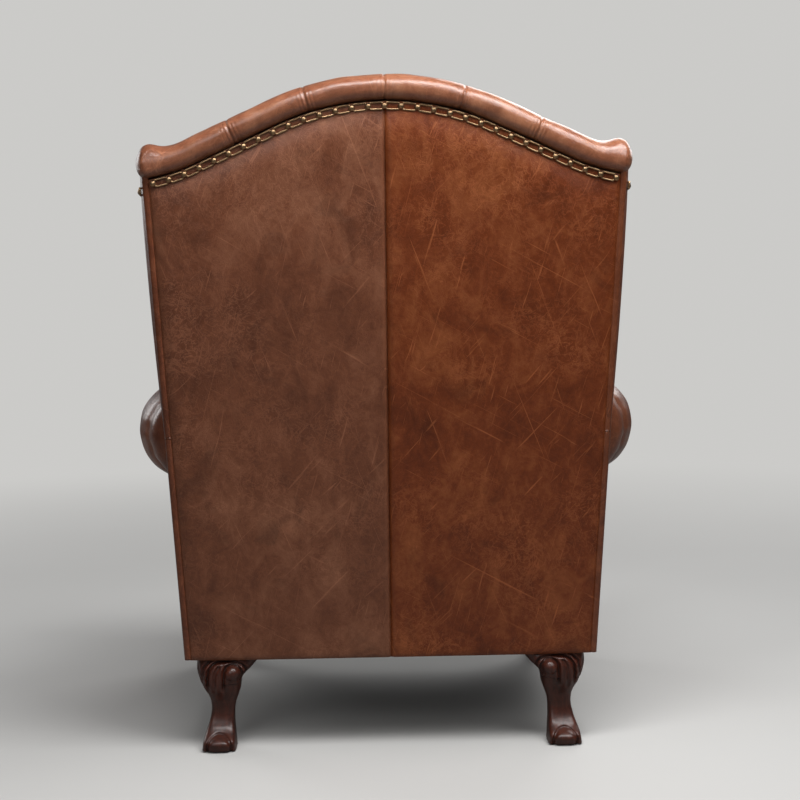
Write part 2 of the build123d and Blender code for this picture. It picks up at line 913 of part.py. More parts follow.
with BuildPart() as inside_back:
    with BuildSketch(back_plane):
        crest_region(back_top_rise, back_foot_level - overrun)
    extrude(amount=post_depth + 2 * back_pad)
    with BuildSketch(back_profile):
        with BuildLine():
            front = ThreePointArc(
                (post_depth + back_pad, back_foot_level - overrun),
                back_front_mid,
                (post_depth + back_top_thickness, back_top_level),
            )
            Polyline(
                front @ 1,
                (post_depth, back_top_level),
                (post_depth, back_foot_level - overrun),
                front @ 0,
            )
        make_face()
    extrude(amount=reach, both=True, mode=Mode.INTERSECT)
    keep_within(wing_inner)
    keep_between(deck_top + deck_cover, reach)
    add(arm_block.part, mode=Mode.SUBTRACT)
    add(arm_envelope.part, mode=Mode.SUBTRACT)
    with Locations(*[button_floor.location * Location(place) for place in button_places]):
        Cone(
            pocket_radius,
            pocket_mouth_radius,
            back_pad,
            align=(Align.CENTER, Align.CENTER, Align.MIN),
            mode=Mode.SUBTRACT,
        )
save(inside_back.part, "inside_back")

with BuildPart() as back_buttons:
    with BuildSketch(button_floor):
        with Locations(*button_places):
            Circle(button_radius)
    extrude(amount=button_height)
    fillet(edges_at(button_floor.offset(button_height)), button_edge_round)
save(back_buttons.part, "back_buttons")

# Outside covers: two panels on the back, and the sides, which wrap over its corners
with BuildPart() as outside_back:
    with BuildSketch(back_plane):
        crest_region(roll_foot_rise - clearance, -overrun, both=False)
    extrude(amount=-skin)
    split(bisect_by=side_plane.offset(wrap), keep=Keep.TOP)
    keep_between(leg_height, reach)
    fillet(edges_at(back_plane.offset(-skin)), skin_round)
save_pair(outside_back.part, "outside_back")

with BuildPart() as wrap_lip:
    back_slab(-skin, 0)
    split(bisect_by=side_plane, keep=Keep.TOP)
    split(bisect_by=side_plane.offset(wrap), keep=Keep.BOTTOM)

with BuildPart() as side_skin:
    side_slab(-skin, 0)
    keep_ahead(-skin)
    add(wrap_lip.part)
    corner_edges = [
        edge
        for edge in edges_at(side_plane.offset(-skin))
        if abs(back_plane.to_local_coords(edge @ 0.5).Z + skin) < tolerance
    ]
    fillet(corner_edges, skin - skin_round)

with BuildPart() as outside_arm:
    add(side_skin.part)
    split(bisect_by=front_plane, keep=Keep.BOTTOM)
    keep_between(leg_height, roll_height)
    add(arm_envelope.part, mode=Mode.SUBTRACT)
save_pair(outside_arm.part, "outside_arm")

with BuildPart() as outside_wing:
    with BuildSketch(side_plane.offset(-skin)):
        wing_face(wing_rim - wing_outer_round)
    extrude(amount=skin + 2 * wrap)
    add(side_skin.part, mode=Mode.INTERSECT)
    keep_between(roll_height, reach)
    add(arm_envelope.part, mode=Mode.SUBTRACT)
    add(crest_block.part, mode=Mode.SUBTRACT)
save_pair(outside_wing.part, "outside_wing")


# Trim: strips of open links, with a domed nail at each joint
def spot_along(path, distance):
    """Find the place at a distance along a path, turned along it."""
    at = path.position_at(distance, PositionMode.LENGTH)
    way = path.tangent_at(distance, PositionMode.LENGTH)
    return Location((at.X, at.Y, 0), (0, 0, degrees(atan2(way.Y, way.X))))


def mirrored(spot):
    """Find the place across the middle of the back from a spot."""
    return Location((-spot.position.X, spot.position.Y, 0), (0, 0, -spot.orientation.Z))


def nail_heads(plane, places):
    """Set domed nail heads on a plane."""
    with Locations(*[plane.location * place for place in places]):
        Sphere(nail_ball)


trim_face = back_plane.offset(-skin)
link_spots = [spot_along(crest_wire, nail_pitch / 2 + step * nail_pitch) for step in range(nails_each_side)]
nail_spots = [spot_along(crest_wire, step * nail_pitch) for step in range(nails_each_side + 1)]

with BuildPart() as back_trim_strip:
    with BuildSketch(trim_face) as strip:
        crest_region(trim_width / 2, 0)
        crest_region(-trim_width / 2, 0, mode=Mode.SUBTRACT)
        with Locations(*link_spots):
            RectangleRounded(link_window, link_window_height, link_window_round, mode=Mode.SUBTRACT)
        with Locations(*[mirrored(spot) for spot in link_spots]):
            RectangleRounded(link_window, link_window_height, link_window_round, mode=Mode.SUBTRACT)
    extrude(amount=-trim_thickness)
    keep_within(-skin)
save(back_trim_strip.part, "back_trim_strip")

with BuildPart() as back_trim_nails:
    nail_heads(
        trim_face.offset(nail_ball - nail_dome - trim_thickness),
        nail_spots + [mirrored(spot) for spot in nail_spots[1:]],
    )
    split(bisect_by=trim_face.offset(-trim_thickness), keep=Keep.BOTTOM)
save(back_trim_nails.part, "back_trim_nails")

side_trim_face = side_plane.offset(-skin)
with BuildLine() as side_curve:
    wing_edge(-side_trim_inset, 0)
side_wire = Wire(side_curve.edges())
side_trim_foot = side_spot(0, roll_height + roll_bend_radius)[1]
side_steps = range(int(side_wire.length / nail_pitch))
side_links = [
    spot
    for spot in [spot_along(side_wire, nail_pitch / 2 + step * nail_pitch) for step in side_steps]
    if spot.position.Y > side_trim_foot + nail_pitch / 2
]
side_nails = [
    spot
    for spot in [spot_along(side_wire, (step + 1) * nail_pitch) for step in side_steps]
    if spot.position.Y > side_trim_foot + nail_radius
]

with BuildPart() as side_trim_strips:
    with BuildSketch(side_trim_face):
        trace(side_wire, trim_width)
        with Locations(*side_links):
            RectangleRounded(link_window, link_window_height, link_window_round, mode=Mode.SUBTRACT)
    extrude(amount=-trim_thickness)
    keep_between(roll_height, reach)
    add(arm_envelope.part, mode=Mode.SUBTRACT)
    mirror(about=Plane.YZ)
save(side_trim_strips.part, "side_trim_strips")

with BuildPart() as side_trim_nails:
    nail_heads(side_trim_face.offset(nail_ball - nail_dome - trim_thickness), side_nails)
    split(bisect_by=side_trim_face.offset(-trim_thickness), keep=Keep.BOTTOM)
    mirror(about=Plane.YZ)
save(side_trim_nails.part, "side_trim_nails")

with BuildSketch() as facing_line:
    facing_outline()
    offset(amount=-facing_nail_inset)
facing_wire = facing_line.face().outer_wire()
facing_steps = range(int(facing_wire.length / facing_nail_pitch))
facing_spots = [
    spot
    for spot in [spot_along(facing_wire, step * facing_nail_pitch) for step in facing_steps]
    if spot.position.Y > facing_nail_foot
]

with BuildPart() as facing_nails:
    nail_heads(facing_front.offset(nail_dome - nail_ball), facing_spots)
    split(bisect_by=facing_front, keep=Keep.TOP)
    mirror(about=Plane.YZ)
save(facing_nails.part, "facing_nails")

# Loose seat cushion: a crowned box with drawn-in sides, in leather over a foam core
cushion_foot = deck_top + deck_cover + clearance
cushion_edge = cushion_foot + cushion_edge_height


def cushion_plan(inset):
    """Fill the outline of the cushion from above, its sides drawn in between the corners."""
    rear_half = cushion_rear_half - inset
    front_half = cushion_front_half - inset
    rear_y = cushion_rear_y - inset
    front_y = cushion_front_y + inset
    corners = [
        (-front_half, front_y), (front_half, front_y), (rear_half, rear_y), (-rear_half, rear_y),
    ]
    with BuildLine() as outline:
        for start, end in zip(corners, corners[1:] + corners[:1]):
            SagittaArc(start, end, cushion_draw)
    make_face(outline.edges())
    fillet(vertices(), cushion_corner_round - inset)


def cushion_block(inset):
    """Crown the cushion's plan, shrunk evenly by an inset."""
    low = cushion_foot + inset
    edge = cushion_edge - inset
    with BuildSketch(Plane.XY.offset(low)) as plan:
        cushion_plan(inset)
    extrude(plan.sketch, amount=cushion_edge_height + cushion_crown)
    spans = (
        (Plane.XZ, -cushion_front_half, cushion_front_half),
        (Plane.YZ, cushion_front_y, cushion_rear_y),
    )
    for plane, near, far in spans:
        with BuildSketch(plane) as profile:
            with BuildLine() as outline:
                crown = ThreePointArc(
                    (near + inset, edge),
                    ((near + far) / 2, edge + cushion_crown),
                    (far - inset, edge),
                )
                Polyline(crown @ 1, (far - inset, low), (near + inset, low), crown @ 0)
            make_face(outline.edges())
        extrude(profile.sketch, amount=reach, both=True, mode=Mode.INTERSECT)


with BuildPart() as seat_cushion_core:
    cushion_block(cushion_cover + clearance)
save(seat_cushion_core.part, "seat_cushion_core")

with BuildPart() as cushion_hollow:
    cushion_block(cushion_cover)

with BuildPart() as cushion_shell:
    cushion_block(0)
    add(cushion_hollow.part, mode=Mode.SUBTRACT)

with BuildPart() as cushion_boxing:
    add(cushion_shell.part)
    keep_between(cushion_foot + cushion_cover, cushion_edge)
save(cushion_boxing.part, "seat_cushion_boxing")

with BuildPart() as cushion_panels:
    add(cushion_shell.part)
    with BuildSketch(Plane.XY.offset(cushion_foot + cushion_cover)):
        Rectangle(reach, reach)
    extrude(amount=cushion_edge_height - cushion_cover, mode=Mode.SUBTRACT)
save(cushion_panels.part, "seat_cushion_panels")

with BuildPart() as seat_cushion_welts:
    for level in (cushion_foot + welt_radius, cushion_edge):
        with BuildSketch(Plane.XY.offset(level)) as ring:
            cushion_plan(-welt_radius - clearance)
        path = ring.sketch.face().outer_wire()
        with BuildSketch(Plane(origin=path @ 0, z_dir=path % 0)) as cord:
            Circle(welt_radius)
        sweep(cord.sketch, path=path)
save(seat_cushion_welts.part, "seat_cushion_welts")
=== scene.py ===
import json
import math

import bmesh
import bpy
import numpy as np
from mathutils import Matrix

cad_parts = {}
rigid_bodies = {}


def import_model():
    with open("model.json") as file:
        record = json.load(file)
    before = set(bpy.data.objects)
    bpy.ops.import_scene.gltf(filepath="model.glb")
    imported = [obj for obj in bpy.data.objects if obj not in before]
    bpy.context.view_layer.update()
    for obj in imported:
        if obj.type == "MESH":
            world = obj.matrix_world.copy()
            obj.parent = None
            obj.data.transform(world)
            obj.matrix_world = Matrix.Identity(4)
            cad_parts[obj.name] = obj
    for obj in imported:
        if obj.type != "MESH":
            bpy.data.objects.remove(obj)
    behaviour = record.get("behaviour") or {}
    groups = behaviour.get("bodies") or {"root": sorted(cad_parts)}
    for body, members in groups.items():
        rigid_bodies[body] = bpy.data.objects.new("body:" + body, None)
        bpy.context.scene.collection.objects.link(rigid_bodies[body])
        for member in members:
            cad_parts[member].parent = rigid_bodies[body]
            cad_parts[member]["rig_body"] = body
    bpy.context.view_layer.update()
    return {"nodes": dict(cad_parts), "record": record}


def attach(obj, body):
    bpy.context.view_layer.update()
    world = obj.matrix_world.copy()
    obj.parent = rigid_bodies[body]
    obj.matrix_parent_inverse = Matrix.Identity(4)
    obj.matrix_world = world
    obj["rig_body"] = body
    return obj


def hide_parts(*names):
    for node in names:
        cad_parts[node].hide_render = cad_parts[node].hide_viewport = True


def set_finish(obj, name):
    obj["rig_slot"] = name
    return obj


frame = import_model()

# Metres, in the frame of the model: the floor is at zero height, the front faces -Y and the
# sitter's left is +X. Left pieces are built first and mirrored for the right. BACKED is how far
# a side cover's back lies under the solids' face, RISE the back's height over the legs.
LEG_TOP, SHOULDER_Z, CREST = 0.158, 0.950, 1.073
BACK_Y, SETBACK, FRONT_Y = 0.262, 0.110, -0.372
BACK_FOOT_X, SHOULDER_X, FRONT_FOOT_X = 0.347, 0.382, 0.379
DECK_TOP, ROLL_Z, ROLL_RADIUS, ROLL_REACH = 0.332, 0.541, 0.074, 0.433
ARM_THICKNESS = 0.104
NAIL_PITCH = 0.026
BACKED = 0.0002
RISE = 0.792
RAKE = math.atan2(SETBACK, RISE)


def vec(*c):
    return np.array(c, float)


def unit(v):
    return v / np.linalg.norm(v)


def clamp(x):
    return np.clip(x, 0, 1)


def bell(x, width):
    """1 at zero, fading on both sides over a width."""
    return np.exp(-((x / width) ** 2))


def edge_round(t, r):
    """0 at an edge to 1 at a distance r from it, as a quarter round."""
    return np.sqrt(1 - (1 - clamp(t / r)) ** 2)


def uv(nu, nv, first=0):
    """Two square grids of shares, across from first to 1 and up from 0 to 1."""
    return np.meshgrid(np.linspace(first, 1, nu), np.linspace(0, 1, nv), indexing="ij")


# Set-out of the chair
FOOT = vec(BACK_FOOT_X, BACK_Y, LEG_TOP)
SHOULDER = vec(SHOULDER_X, BACK_Y + SETBACK, SHOULDER_Z)
FRONT_FOOT = vec(FRONT_FOOT_X, FRONT_Y, LEG_TOP)
FORWARD = unit(FRONT_FOOT - FOOT)
INWARD = unit(np.cross(FRONT_FOOT - FOOT, SHOULDER - FOOT))
AHEAD = vec(0, -math.cos(RAKE), math.sin(RAKE))
UP_BACK = vec(0, math.sin(RAKE), math.cos(RAKE))


def level(height):
    return (height - LEG_TOP) / math.cos(RAKE)


def up_back(s):
    """Depth and height of a place s up the rear face of the back."""
    return BACK_Y + UP_BACK[1] * s, LEG_TOP + UP_BACK[2] * s


def on_back(x, s, d):
    """A point at x across, s up the raked back and d ahead of its rear face."""
    x, s, d = np.broadcast_arrays(*(np.asarray(c, float) for c in (x, s, d)))
    y, z = up_back(s)
    return np.stack([x, y - math.cos(RAKE) * d, z + math.sin(RAKE) * d], -1)


def on_side(a, h, d):
    """A point a ahead of the back corner, h above the floor and d under the side's outer face."""
    a, h, d = np.broadcast_arrays(*(np.asarray(c, float) for c in (a, h, d)))
    share = ((h - LEG_TOP) / RISE)[..., None]
    return FOOT + share * (SHOULDER - FOOT) + a[..., None] * FORWARD + d[..., None] * INWARD


def side_x(depth, y, z):
    """How far out a layer of the side stands that lies at a depth under its outer face."""
    return FOOT[0] + (depth - INWARD[1] * (y - FOOT[1]) - INWARD[2] * (z - FOOT[2])) / INWARD[0]


def crest_line(rise):
    """The crest curve at a rise: a round, a straight, a hollow and a short tail, as x and s."""
    n, steep, flat = 400, math.radians(24.5), math.radians(8)
    round_radius, straight, hollow_radius, tail_length = 0.415, 0.139, 0.313, 0.06
    top = vec(0, level(CREST) - round_radius)
    up, down = vec(math.sin(steep), math.cos(steep)), vec(math.cos(steep), -math.sin(steep))
    a = np.linspace(0, steep, n)
    first = top + (round_radius + rise) * np.stack([np.sin(a), np.cos(a)], 1)
    second = first[-1] + np.linspace(0, straight, n)[1:, None] * down
    hollow = top + up * (round_radius + hollow_radius) + down * straight
    b = np.linspace(steep, flat, n)[1:]
    third = hollow - (hollow_radius - rise) * np.stack([np.sin(b), np.cos(b)], 1)
    tail = third[-1] + np.linspace(0, tail_length, 40)[1:, None] * vec(math.cos(flat), -math.sin(flat))
    return np.concatenate([first, second, third, tail])


def crest_at(x, rise):
    line = crest_line(rise)
    return np.interp(np.abs(x), line[:, 0], line[:, 1])


def run_length(points):
    """Distance along a polyline to each of its points."""
    return np.concatenate([[0], np.cumsum(np.linalg.norm(np.diff(points, axis=0), axis=1))])


def each_unit(ways):
    return ways / np.linalg.norm(ways, axis=1)[:, None]


def along(points, count=None, distances=None):
    """Points at even steps, or at given distances, along a polyline, and the tangents there."""
    total = run_length(points)
    if distances is None:
        distances = np.linspace(0, total[-1], count)

    def read(places):
        return np.stack([np.interp(places, total, column) for column in points.T], 1)

    eps = total[-1] * 0.002
    return read(distances), each_unit(read(distances + eps) - read(distances - eps)), total[-1]


def even_ring(loop, n):
    """A closed outline as n points at even steps."""
    return along(np.concatenate([loop, loop[:1]]), n + 1)[0][:-1]


def ring_ways(ring):
    return each_unit(np.roll(ring, -1, 0) - np.roll(ring, 1, 0))


def to_left(way):
    """Flat directions turned a quarter to the left."""
    return np.stack([-way[:, 1], way[:, 0]], 1)


def left_of(line):
    return to_left(each_unit(np.gradient(line, axis=0)))


def rounded_path(corners, radii, step=0.002):
    """A polyline through corners whose inner ones are rounded by arcs."""
    out = [vec(*corners[0])]
    for i in range(1, len(corners) - 1):
        before, corner, after = vec(*corners[i - 1]), vec(*corners[i]), vec(*corners[i + 1])
        u, w = unit(before - corner), unit(after - corner)
        half = math.acos(np.clip(u @ w, -1, 1)) / 2
        r = radii[i - 1]
        start, end = corner + u * r / math.tan(half), corner + w * r / math.tan(half)
        centre = corner + unit(u + w) * r / math.sin(half)
        sweep = math.pi - 2 * half
        e1, e2 = unit(start - centre), unit(end - centre)
        n = max(6, int(r * sweep / step))
        for k in range(n + 1):
            t = k / n
            swung = math.sin((1 - t) * sweep) * e1 + math.sin(t * sweep) * e2
            out.append(centre + r * swung / math.sin(sweep))
    out.append(vec(*corners[-1]))
    return np.array(out)


def wing_outline(g):
    """Top and front edge of the wing, grown by g, from the back corner to the arm."""
    top, ear, waist, hem = 0.978, 0.235, (0.178, 0.775), (0.275, 0.467)
    corner, hollow = 0.070, 0.260
    path = rounded_path(
        [(0, top + g), (ear + g, top + g), (waist[0] + g, waist[1]), (hem[0] + g, hem[1])],
        [corner + g, hollow - g],
    )
    keep = path[path[:, 1] > ROLL_Z]
    last = path[len(keep)]
    share = (keep[-1, 1] - ROLL_Z) / (keep[-1, 1] - last[1])
    return np.concatenate([keep, [keep[-1] + share * (last - keep[-1])]])


# Mesh helpers
def smooth_noise(points, scale, seed):
    """Soft seeded noise from a few rotated waves, about -1 to 1."""
    rng = np.random.default_rng(int(seed * 1000) + 7)
    total = np.zeros(points.shape[:-1])
    for octave, gain in ((1.0, 0.6), (2.1, 0.3), (4.3, 0.15)):
        for _ in range(5):
            way = unit(rng.normal(size=3)) * 2 * math.pi * octave / scale
            total = total + gain * np.sin(points @ way + rng.uniform(0, 2 * math.pi)) / 2
    return total


def grid_faces(nu, nv, base, wrap_u, wrap_v):
    faces = []
    for i in range(nu if wrap_u else nu - 1):
        i2 = (i + 1) % nu
        for j in range(nv if wrap_v else nv - 1):
            j2 = (j + 1) % nv
            faces.append((base + i * nv + j, base + i2 * nv + j, base + i2 * nv + j2, base + i * nv + j2))
    return faces


def add(name, data):
    obj = bpy.data.objects.new(name, data)
    bpy.context.scene.collection.objects.link(obj)
    return obj


def build(name, grids, slot="leather", body="chair", weld=2e-5, caps=()):
    """One mesh from point grids whose edges meet. A grid is (points, wrap_u, wrap_v) or points."""
    verts, faces = [], []
    for grid in grids:
        points, wu, wv = grid if isinstance(grid, tuple) else (grid, False, False)
        nu, nv = points.shape[:2]
        faces += grid_faces(nu, nv, len(verts), wu, wv)
        verts += points.reshape(-1, 3).tolist()
    for ring in caps:
        base = len(verts)
        verts += [list(p) for p in ring]
        faces.append(tuple(range(base, base + len(ring))))
    mesh = bpy.data.meshes.new(name)
    mesh.from_pydata(verts, [], faces)
    bm = bmesh.new()
    bm.from_mesh(mesh)
    bmesh.ops.remove_doubles(bm, verts=bm.verts, dist=weld)
    bmesh.ops.recalc_face_normals(bm, faces=bm.faces)
    bm.to_mesh(mesh)
    bm.free()
    mesh.shade_smooth()
    obj = add(name, mesh)
    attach(obj, body)
    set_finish(obj, slot)
    return obj


def build_round(name, points, slot="leather"):
    """A closed piece from rings along it."""
    return build(name, [(points, False, True)], slot, caps=[points[0], points[-1]])


def shell(outer, inner):
    """Grids of a closed sheet between two grids of the same size."""
    sides = [
        np.stack([outer[:, 0], inner[:, 0]], 1), np.stack([outer[:, -1], inner[:, -1]], 1),
        np.stack([outer[0], inner[0]], 1), np.stack([outer[-1], inner[-1]], 1),
    ]
    return [outer, inner] + sides


def mirror_x(obj, name):
    """A copy of a left piece for the right side."""
    mesh = obj.data.copy()
    mesh.name = name
    twin = add(name, mesh)
    mesh.transform(Matrix.Scale(-1, 4, (1, 0, 0)))
    mesh.flip_normals()
    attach(twin, obj["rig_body"])
    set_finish(twin, obj["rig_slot"])
    return twin


def paint(obj, material):
    obj.data.materials.clear()
    obj.data.materials.append(material)


def dress(obj, material, *nodes, fill=None):
    """Let a piece stand for solids, which it hides, and give it its material; fill is not used."""
    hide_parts(*nodes)
    paint(obj, material)


def pair(left, name, nodes, material, fill=None, rights=None):
    """Finish a left piece and its mirror image."""
    right = mirror_x(left, name + "_right")
    for obj, side, hide in ((left, "left", material), (right, "right", rights or material)):
        dress(obj, hide, *[f"{node}_{side}" for node in nodes], fill=fill)


def turns(n):
    return np.linspace(0, 2 * math.pi, n, endpoint=False)


def tube(path, radius):
    """Piping along a level ring, as a grid."""
    first_turn = math.atan2(0.93, 0.20)
    up = vec(0, 0, 1)
    side = np.cross(ring_ways(path), up)
    ang = (first_turn + turns(12))[None, :, None]
    return path[:, None] + radius * (np.cos(ang) * up + np.sin(ang) * side[:, None]), True, True


def coons(left, right, bottom, top):
    """A patch between four edges. left and right run up, bottom and top run across."""
    nu, nv = len(bottom), len(left)
    u, v = np.linspace(0, 1, nu)[:, None, None], np.linspace(0, 1, nv)[None, :, None]
    return (
        (1 - u) * left[None] + u * right[None] + (1 - v) * bottom[:, None] + v * top[:, None]
        - (1 - u) * (1 - v) * bottom[0] - u * (1 - v) * bottom[-1] - (1 - u) * v * top[0] - u * v * top[-1]
    )


# Materials
class Paint:
    """A small helper that wires up one node material."""

    def __init__(self, name):
        self.material = bpy.data.materials.new(name)
        self.material.use_nodes = True
        self.tree = self.material.node_tree
        self.tree.nodes.clear()
        self.out = self.tree.nodes.new("ShaderNodeOutputMaterial")
        self.shader = self.tree.nodes.new("ShaderNodeBsdfPrincipled")
        self.tree.links.new(self.shader.outputs[0], self.out.inputs[0])
        self.place = self.node("ShaderNodeTexCoord").outputs["Object"]

    def node(self, kind, values=(), **settings):
        made = self.tree.nodes.new(kind)
        for key, value in settings.items():
            setattr(made, key, value)
        for key, value in dict(values).items():
            self.set(made.inputs[key], value)
        return made

    def set(self, socket, value):
        if isinstance(value, bpy.types.NodeSocket):
            self.tree.links.new(value, socket)
        elif socket.type == "RGBA":
            socket.default_value = (*value, 1)
        else:
            socket.default_value = value

    def mapping(self, scale, turn=(0, 0, 0), vector=None):
        turned = self.node("ShaderNodeMapping", {"Vector": vector or self.place})
        turned.inputs["Rotation"].default_value = turn
        made = self.node("ShaderNodeMapping", {"Vector": turned.outputs[0]})
        made.inputs["Scale"].default_value = scale
        return made.outputs[0]

    def noise(self, scale, detail, rough=0.55, distort=0.0, vector=None, color=False):
        values = {"Vector": vector or self.place, "Scale": scale, "Detail": detail, "Roughness": rough}
        made = self.node("ShaderNodeTexNoise", {**values, "Distortion": distort})
        return made.outputs["Color" if color else "Fac"]

    def cells(self, scale):
        values = {"Vector": self.place, "Scale": scale}
        return self.node("ShaderNodeTexVoronoi", values, feature="SMOOTH_F1").outputs["Distance"]

    def threads(self, pitch, way):
        values = {"Vector": self.place, "Scale": 0.5 / pitch, "Distortion": 0.6, "Detail": 1.0}
        return self.node("ShaderNodeTexWave", values, bands_direction=way).outputs["Fac"]

    def ramp(self, fac, stops, ease="LINEAR"):
        made = self.node("ShaderNodeValToRGB", {"Fac": fac})
        made.color_ramp.interpolation = ease
        while len(made.color_ramp.elements) < len(stops):
            made.color_ramp.elements.new(0.5)
        for element, (at, color) in zip(made.color_ramp.elements, stops):
            element.position = at
            element.color = (*np.broadcast_to(color, 3), 1)
        return made.outputs["Color"]

    def mix(self, fac, a, b, mode="MIX"):
        made = self.node("ShaderNodeMix", data_type="RGBA", blend_type=mode)
        for index, value in ((0, fac), (6, a), (7, b)):
            self.set(made.inputs[index], value)
        return made.outputs[2]

    def math(self, kind, a, b=0.0, clamp=False):
        made = self.node("ShaderNodeMath", operation=kind, use_clamp=clamp)
        self.set(made.inputs[0], a)
        self.set(made.inputs[1], b)
        return made.outputs[0]

    def times(self, a, b, clamp=False):
        return self.math("MULTIPLY", a, b, clamp)

    def weighted(self, *terms):
        total = None
        for value, weight in terms:
            part = self.times(value, weight)
            total = part if total is None else self.math("ADD", total, part)
        return total

    def most(self, parts):
        top = parts[0]
        for part in parts[1:]:
            top = self.math("MAXIMUM", top, part)
        return top

    def bump(self, height, distance, strength, normal=None):
        values = {"Height": height, "Distance": distance, "Strength": strength}
        if normal is not None:
            values["Normal"] = normal
        return self.node("ShaderNodeBump", values).outputs[0]

    def pointiness(self):
        return self.node("ShaderNodeNewGeometry").outputs["Pointiness"]

    def finish(self, color, roughness, normal=None, **fixed):
        self.set(self.shader.inputs["Base Color"], color)
        self.set(self.shader.inputs["Roughness"], roughness)
        if normal is not None:
            self.set(self.shader.inputs["Normal"], normal)
        for key, value in fixed.items():
            self.shader.inputs[key.replace("_", " ")].default_value = value
        return self.material


def shade(color, share, lift=0.0):
    return tuple(min(1.0, c * share + lift) for c in color)


# Scratches of the leather: how each set is turned, its scales across and along, and its threshold
SCRATCHES = [
    ((0.4, 0.5, 0.2), 6, 290, 0.69), ((1.3, -0.4, 0.9), 9, 380, 0.69),
    ((0.2, 1.2, 1.7), 5, 340, 0.70), ((2.0, 0.8, -0.5), 11, 450, 0.68),
]


def leather(name, dark, mid, light, veins, gloss, shine, wear=0.5):
    """Waxed pull-up leather: mottled, marbled, lightly scratched, paler where it is stretched, with
    painted shade darkening its creases.
    """
    p = Paint(name)
    warp = p.mix(0.05, p.place, p.noise(8, 3, color=True), "ADD")
    broad = p.noise(4.2, 3, 0.55, 0.3)
    cloud = p.noise(19, 8, 0.66, 0.8, p.mapping((1.25, 1.0, 0.8)))
    fine = p.noise(95, 6, 0.7, 0.6)
    tone = p.weighted((broad, 0.38), (cloud, 0.42), (fine, 0.20))
    color = p.ramp(tone, [(0.34, dark), (0.50, mid), (0.67, light)])
    pale = shade(light, 1.75, 0.010)
    patch = p.ramp(p.noise(6.5, 3, 0.6), [(0.44, 0.10), (0.64, 1.0)])
    fleck = p.ramp(p.noise(130, 4, 0.6, 1.0), [(0.60, 0.0), (0.74, 1.0)])
    veining = []
    for scale, width in ((11, 0.012), (27, 0.020), (52, 0.026)):
        ridge = p.math("ABSOLUTE", p.math("SUBTRACT", p.noise(scale, 5, 0.55, 1.3, warp), 0.5))
        veining.append(p.ramp(ridge, [(0.0, 1.0), (width, 0.0)], "EASE"))
    marble = p.most(veining)
    scratches = []
    for turn, wide, long, cut in SCRATCHES:
        scratched = p.noise(1.0, 2, 0.45, 0.9, p.mapping((wide, wide, long), turn))
        scratches.append(p.ramp(scratched, [(cut, 0.0), (cut + 0.06, 1.0)]))
    streak = p.most(scratches)
    lines = p.times(p.math("MAXIMUM", p.times(marble, 0.55), fleck), patch)
    color = p.mix(p.times(lines, 0.42 * veins, True), color, pale)
    color = p.mix(p.times(streak, 0.29 * veins, True), color, pale)
    smudge = p.ramp(p.noise(13, 5, 0.6, 0.9, warp), [(0.56, 0.0), (0.72, 0.40)])
    color = p.mix(smudge, color, shade(dark, 0.62))
    # painted shade: hollow creases and seams are darkened in the colour, found by pointiness; the paler
    # convex edges are wear
    fold = p.ramp(p.pointiness(), [(0.43, 1.0), (0.495, 0.0)])
    edge = p.ramp(p.pointiness(), [(0.53, 0.0), (0.63, 1.0)])
    color = p.mix(p.times(fold, 0.40), color, shade(dark, 0.35))
    color = p.mix(p.times(edge, 0.35 * wear), color, pale)
    rough = p.ramp(p.weighted((cloud, 0.7), (lines, 0.25)), [(0.30, gloss - 0.06), (0.62, gloss + 0.12)])
    normal = p.bump(p.noise(9, 3, 0.5), 0.004, 0.30)
    normal = p.bump(p.noise(44, 5, 0.6), 0.0012, 0.45, normal)
    normal = p.bump(p.math("MAXIMUM", marble, streak), 0.0004, 0.30, normal)
    normal = p.bump(p.cells(700), 0.0003, 0.45, normal)
    coat = {"Coat_Weight": 0.4 * shine, "Coat_Roughness": 0.26}
    return p.finish(color, rough, normal, Specular_IOR_Level=shine, **coat)


def timber(name, dark, mid, gloss, coat, worn=0.0):
    """Stained or plain wood with its grain upright, darker in the carving by painted shade."""
    grain, pore = (30, 30, 2.2), (30, 30, 3.3)
    p = Paint(name)
    bent = p.mix(0.03, p.place, p.noise(9, 2, color=True), "ADD")
    lines = p.noise(6, 6, 0.6, 0.3, p.mapping(grain, vector=bent))
    pores = p.noise(30, 3, 0.5, 0.0, p.mapping(pore, vector=bent))
    tone = p.weighted((lines, 0.7), (p.noise(14, 4), 0.3))
    color = p.ramp(tone, [(0.34, dark), (0.62, mid)])
    color = p.mix(p.ramp(pores, [(0.60, 0.0), (0.70, 0.6)]), color, shade(dark, 0.4))
    # painted shade: the carving's hollows are darkened in the colour, found by pointiness; the paler edges
    # are wear
    fold = p.ramp(p.pointiness(), [(0.40, 1.0), (0.495, 0.0)])
    edge = p.ramp(p.pointiness(), [(0.52, 0.0), (0.60, 1.0)])
    color = p.mix(p.times(fold, 0.8), color, shade(dark, 0.25))
    color = p.mix(p.times(edge, worn), color, shade(mid, 2.2))
    rough = p.ramp(p.noise(40, 4), [(0.3, gloss - 0.06), (0.7, gloss + 0.10)])
    normal = p.bump(pores, 0.0003, 0.4)
    normal = p.bump(p.noise(120, 3), 0.0003, 0.35, normal)
    return p.finish(color, rough, normal, Specular_IOR_Level=0.35, Coat_Weight=coat, Coat_Roughness=0.20)


def metal(name, base, dirt, rough, brushed=False):
    """Metal with patina in the low places."""
    p = Paint(name)
    stain = p.noise(160, 5, 0.6)
    low = p.ramp(p.pointiness(), [(0.44, 1.0), (0.52, 0.0)])
    mask = p.math("ADD", p.times(low, 0.7), p.ramp(stain, [(0.45, 0.0), (0.75, 0.6)]), True)
    color = p.mix(mask, base, dirt)
    roughness = p.ramp(mask, [(0.0, rough), (1.0, rough + 0.3)])
    vector = p.mapping((400, 30, 30)) if brushed else None
    normal = p.bump(p.noise(1.0 if brushed else 420, 3, vector=vector), 0.0001, 0.4)
    return p.finish(color, roughness, normal, Metallic=1.0)


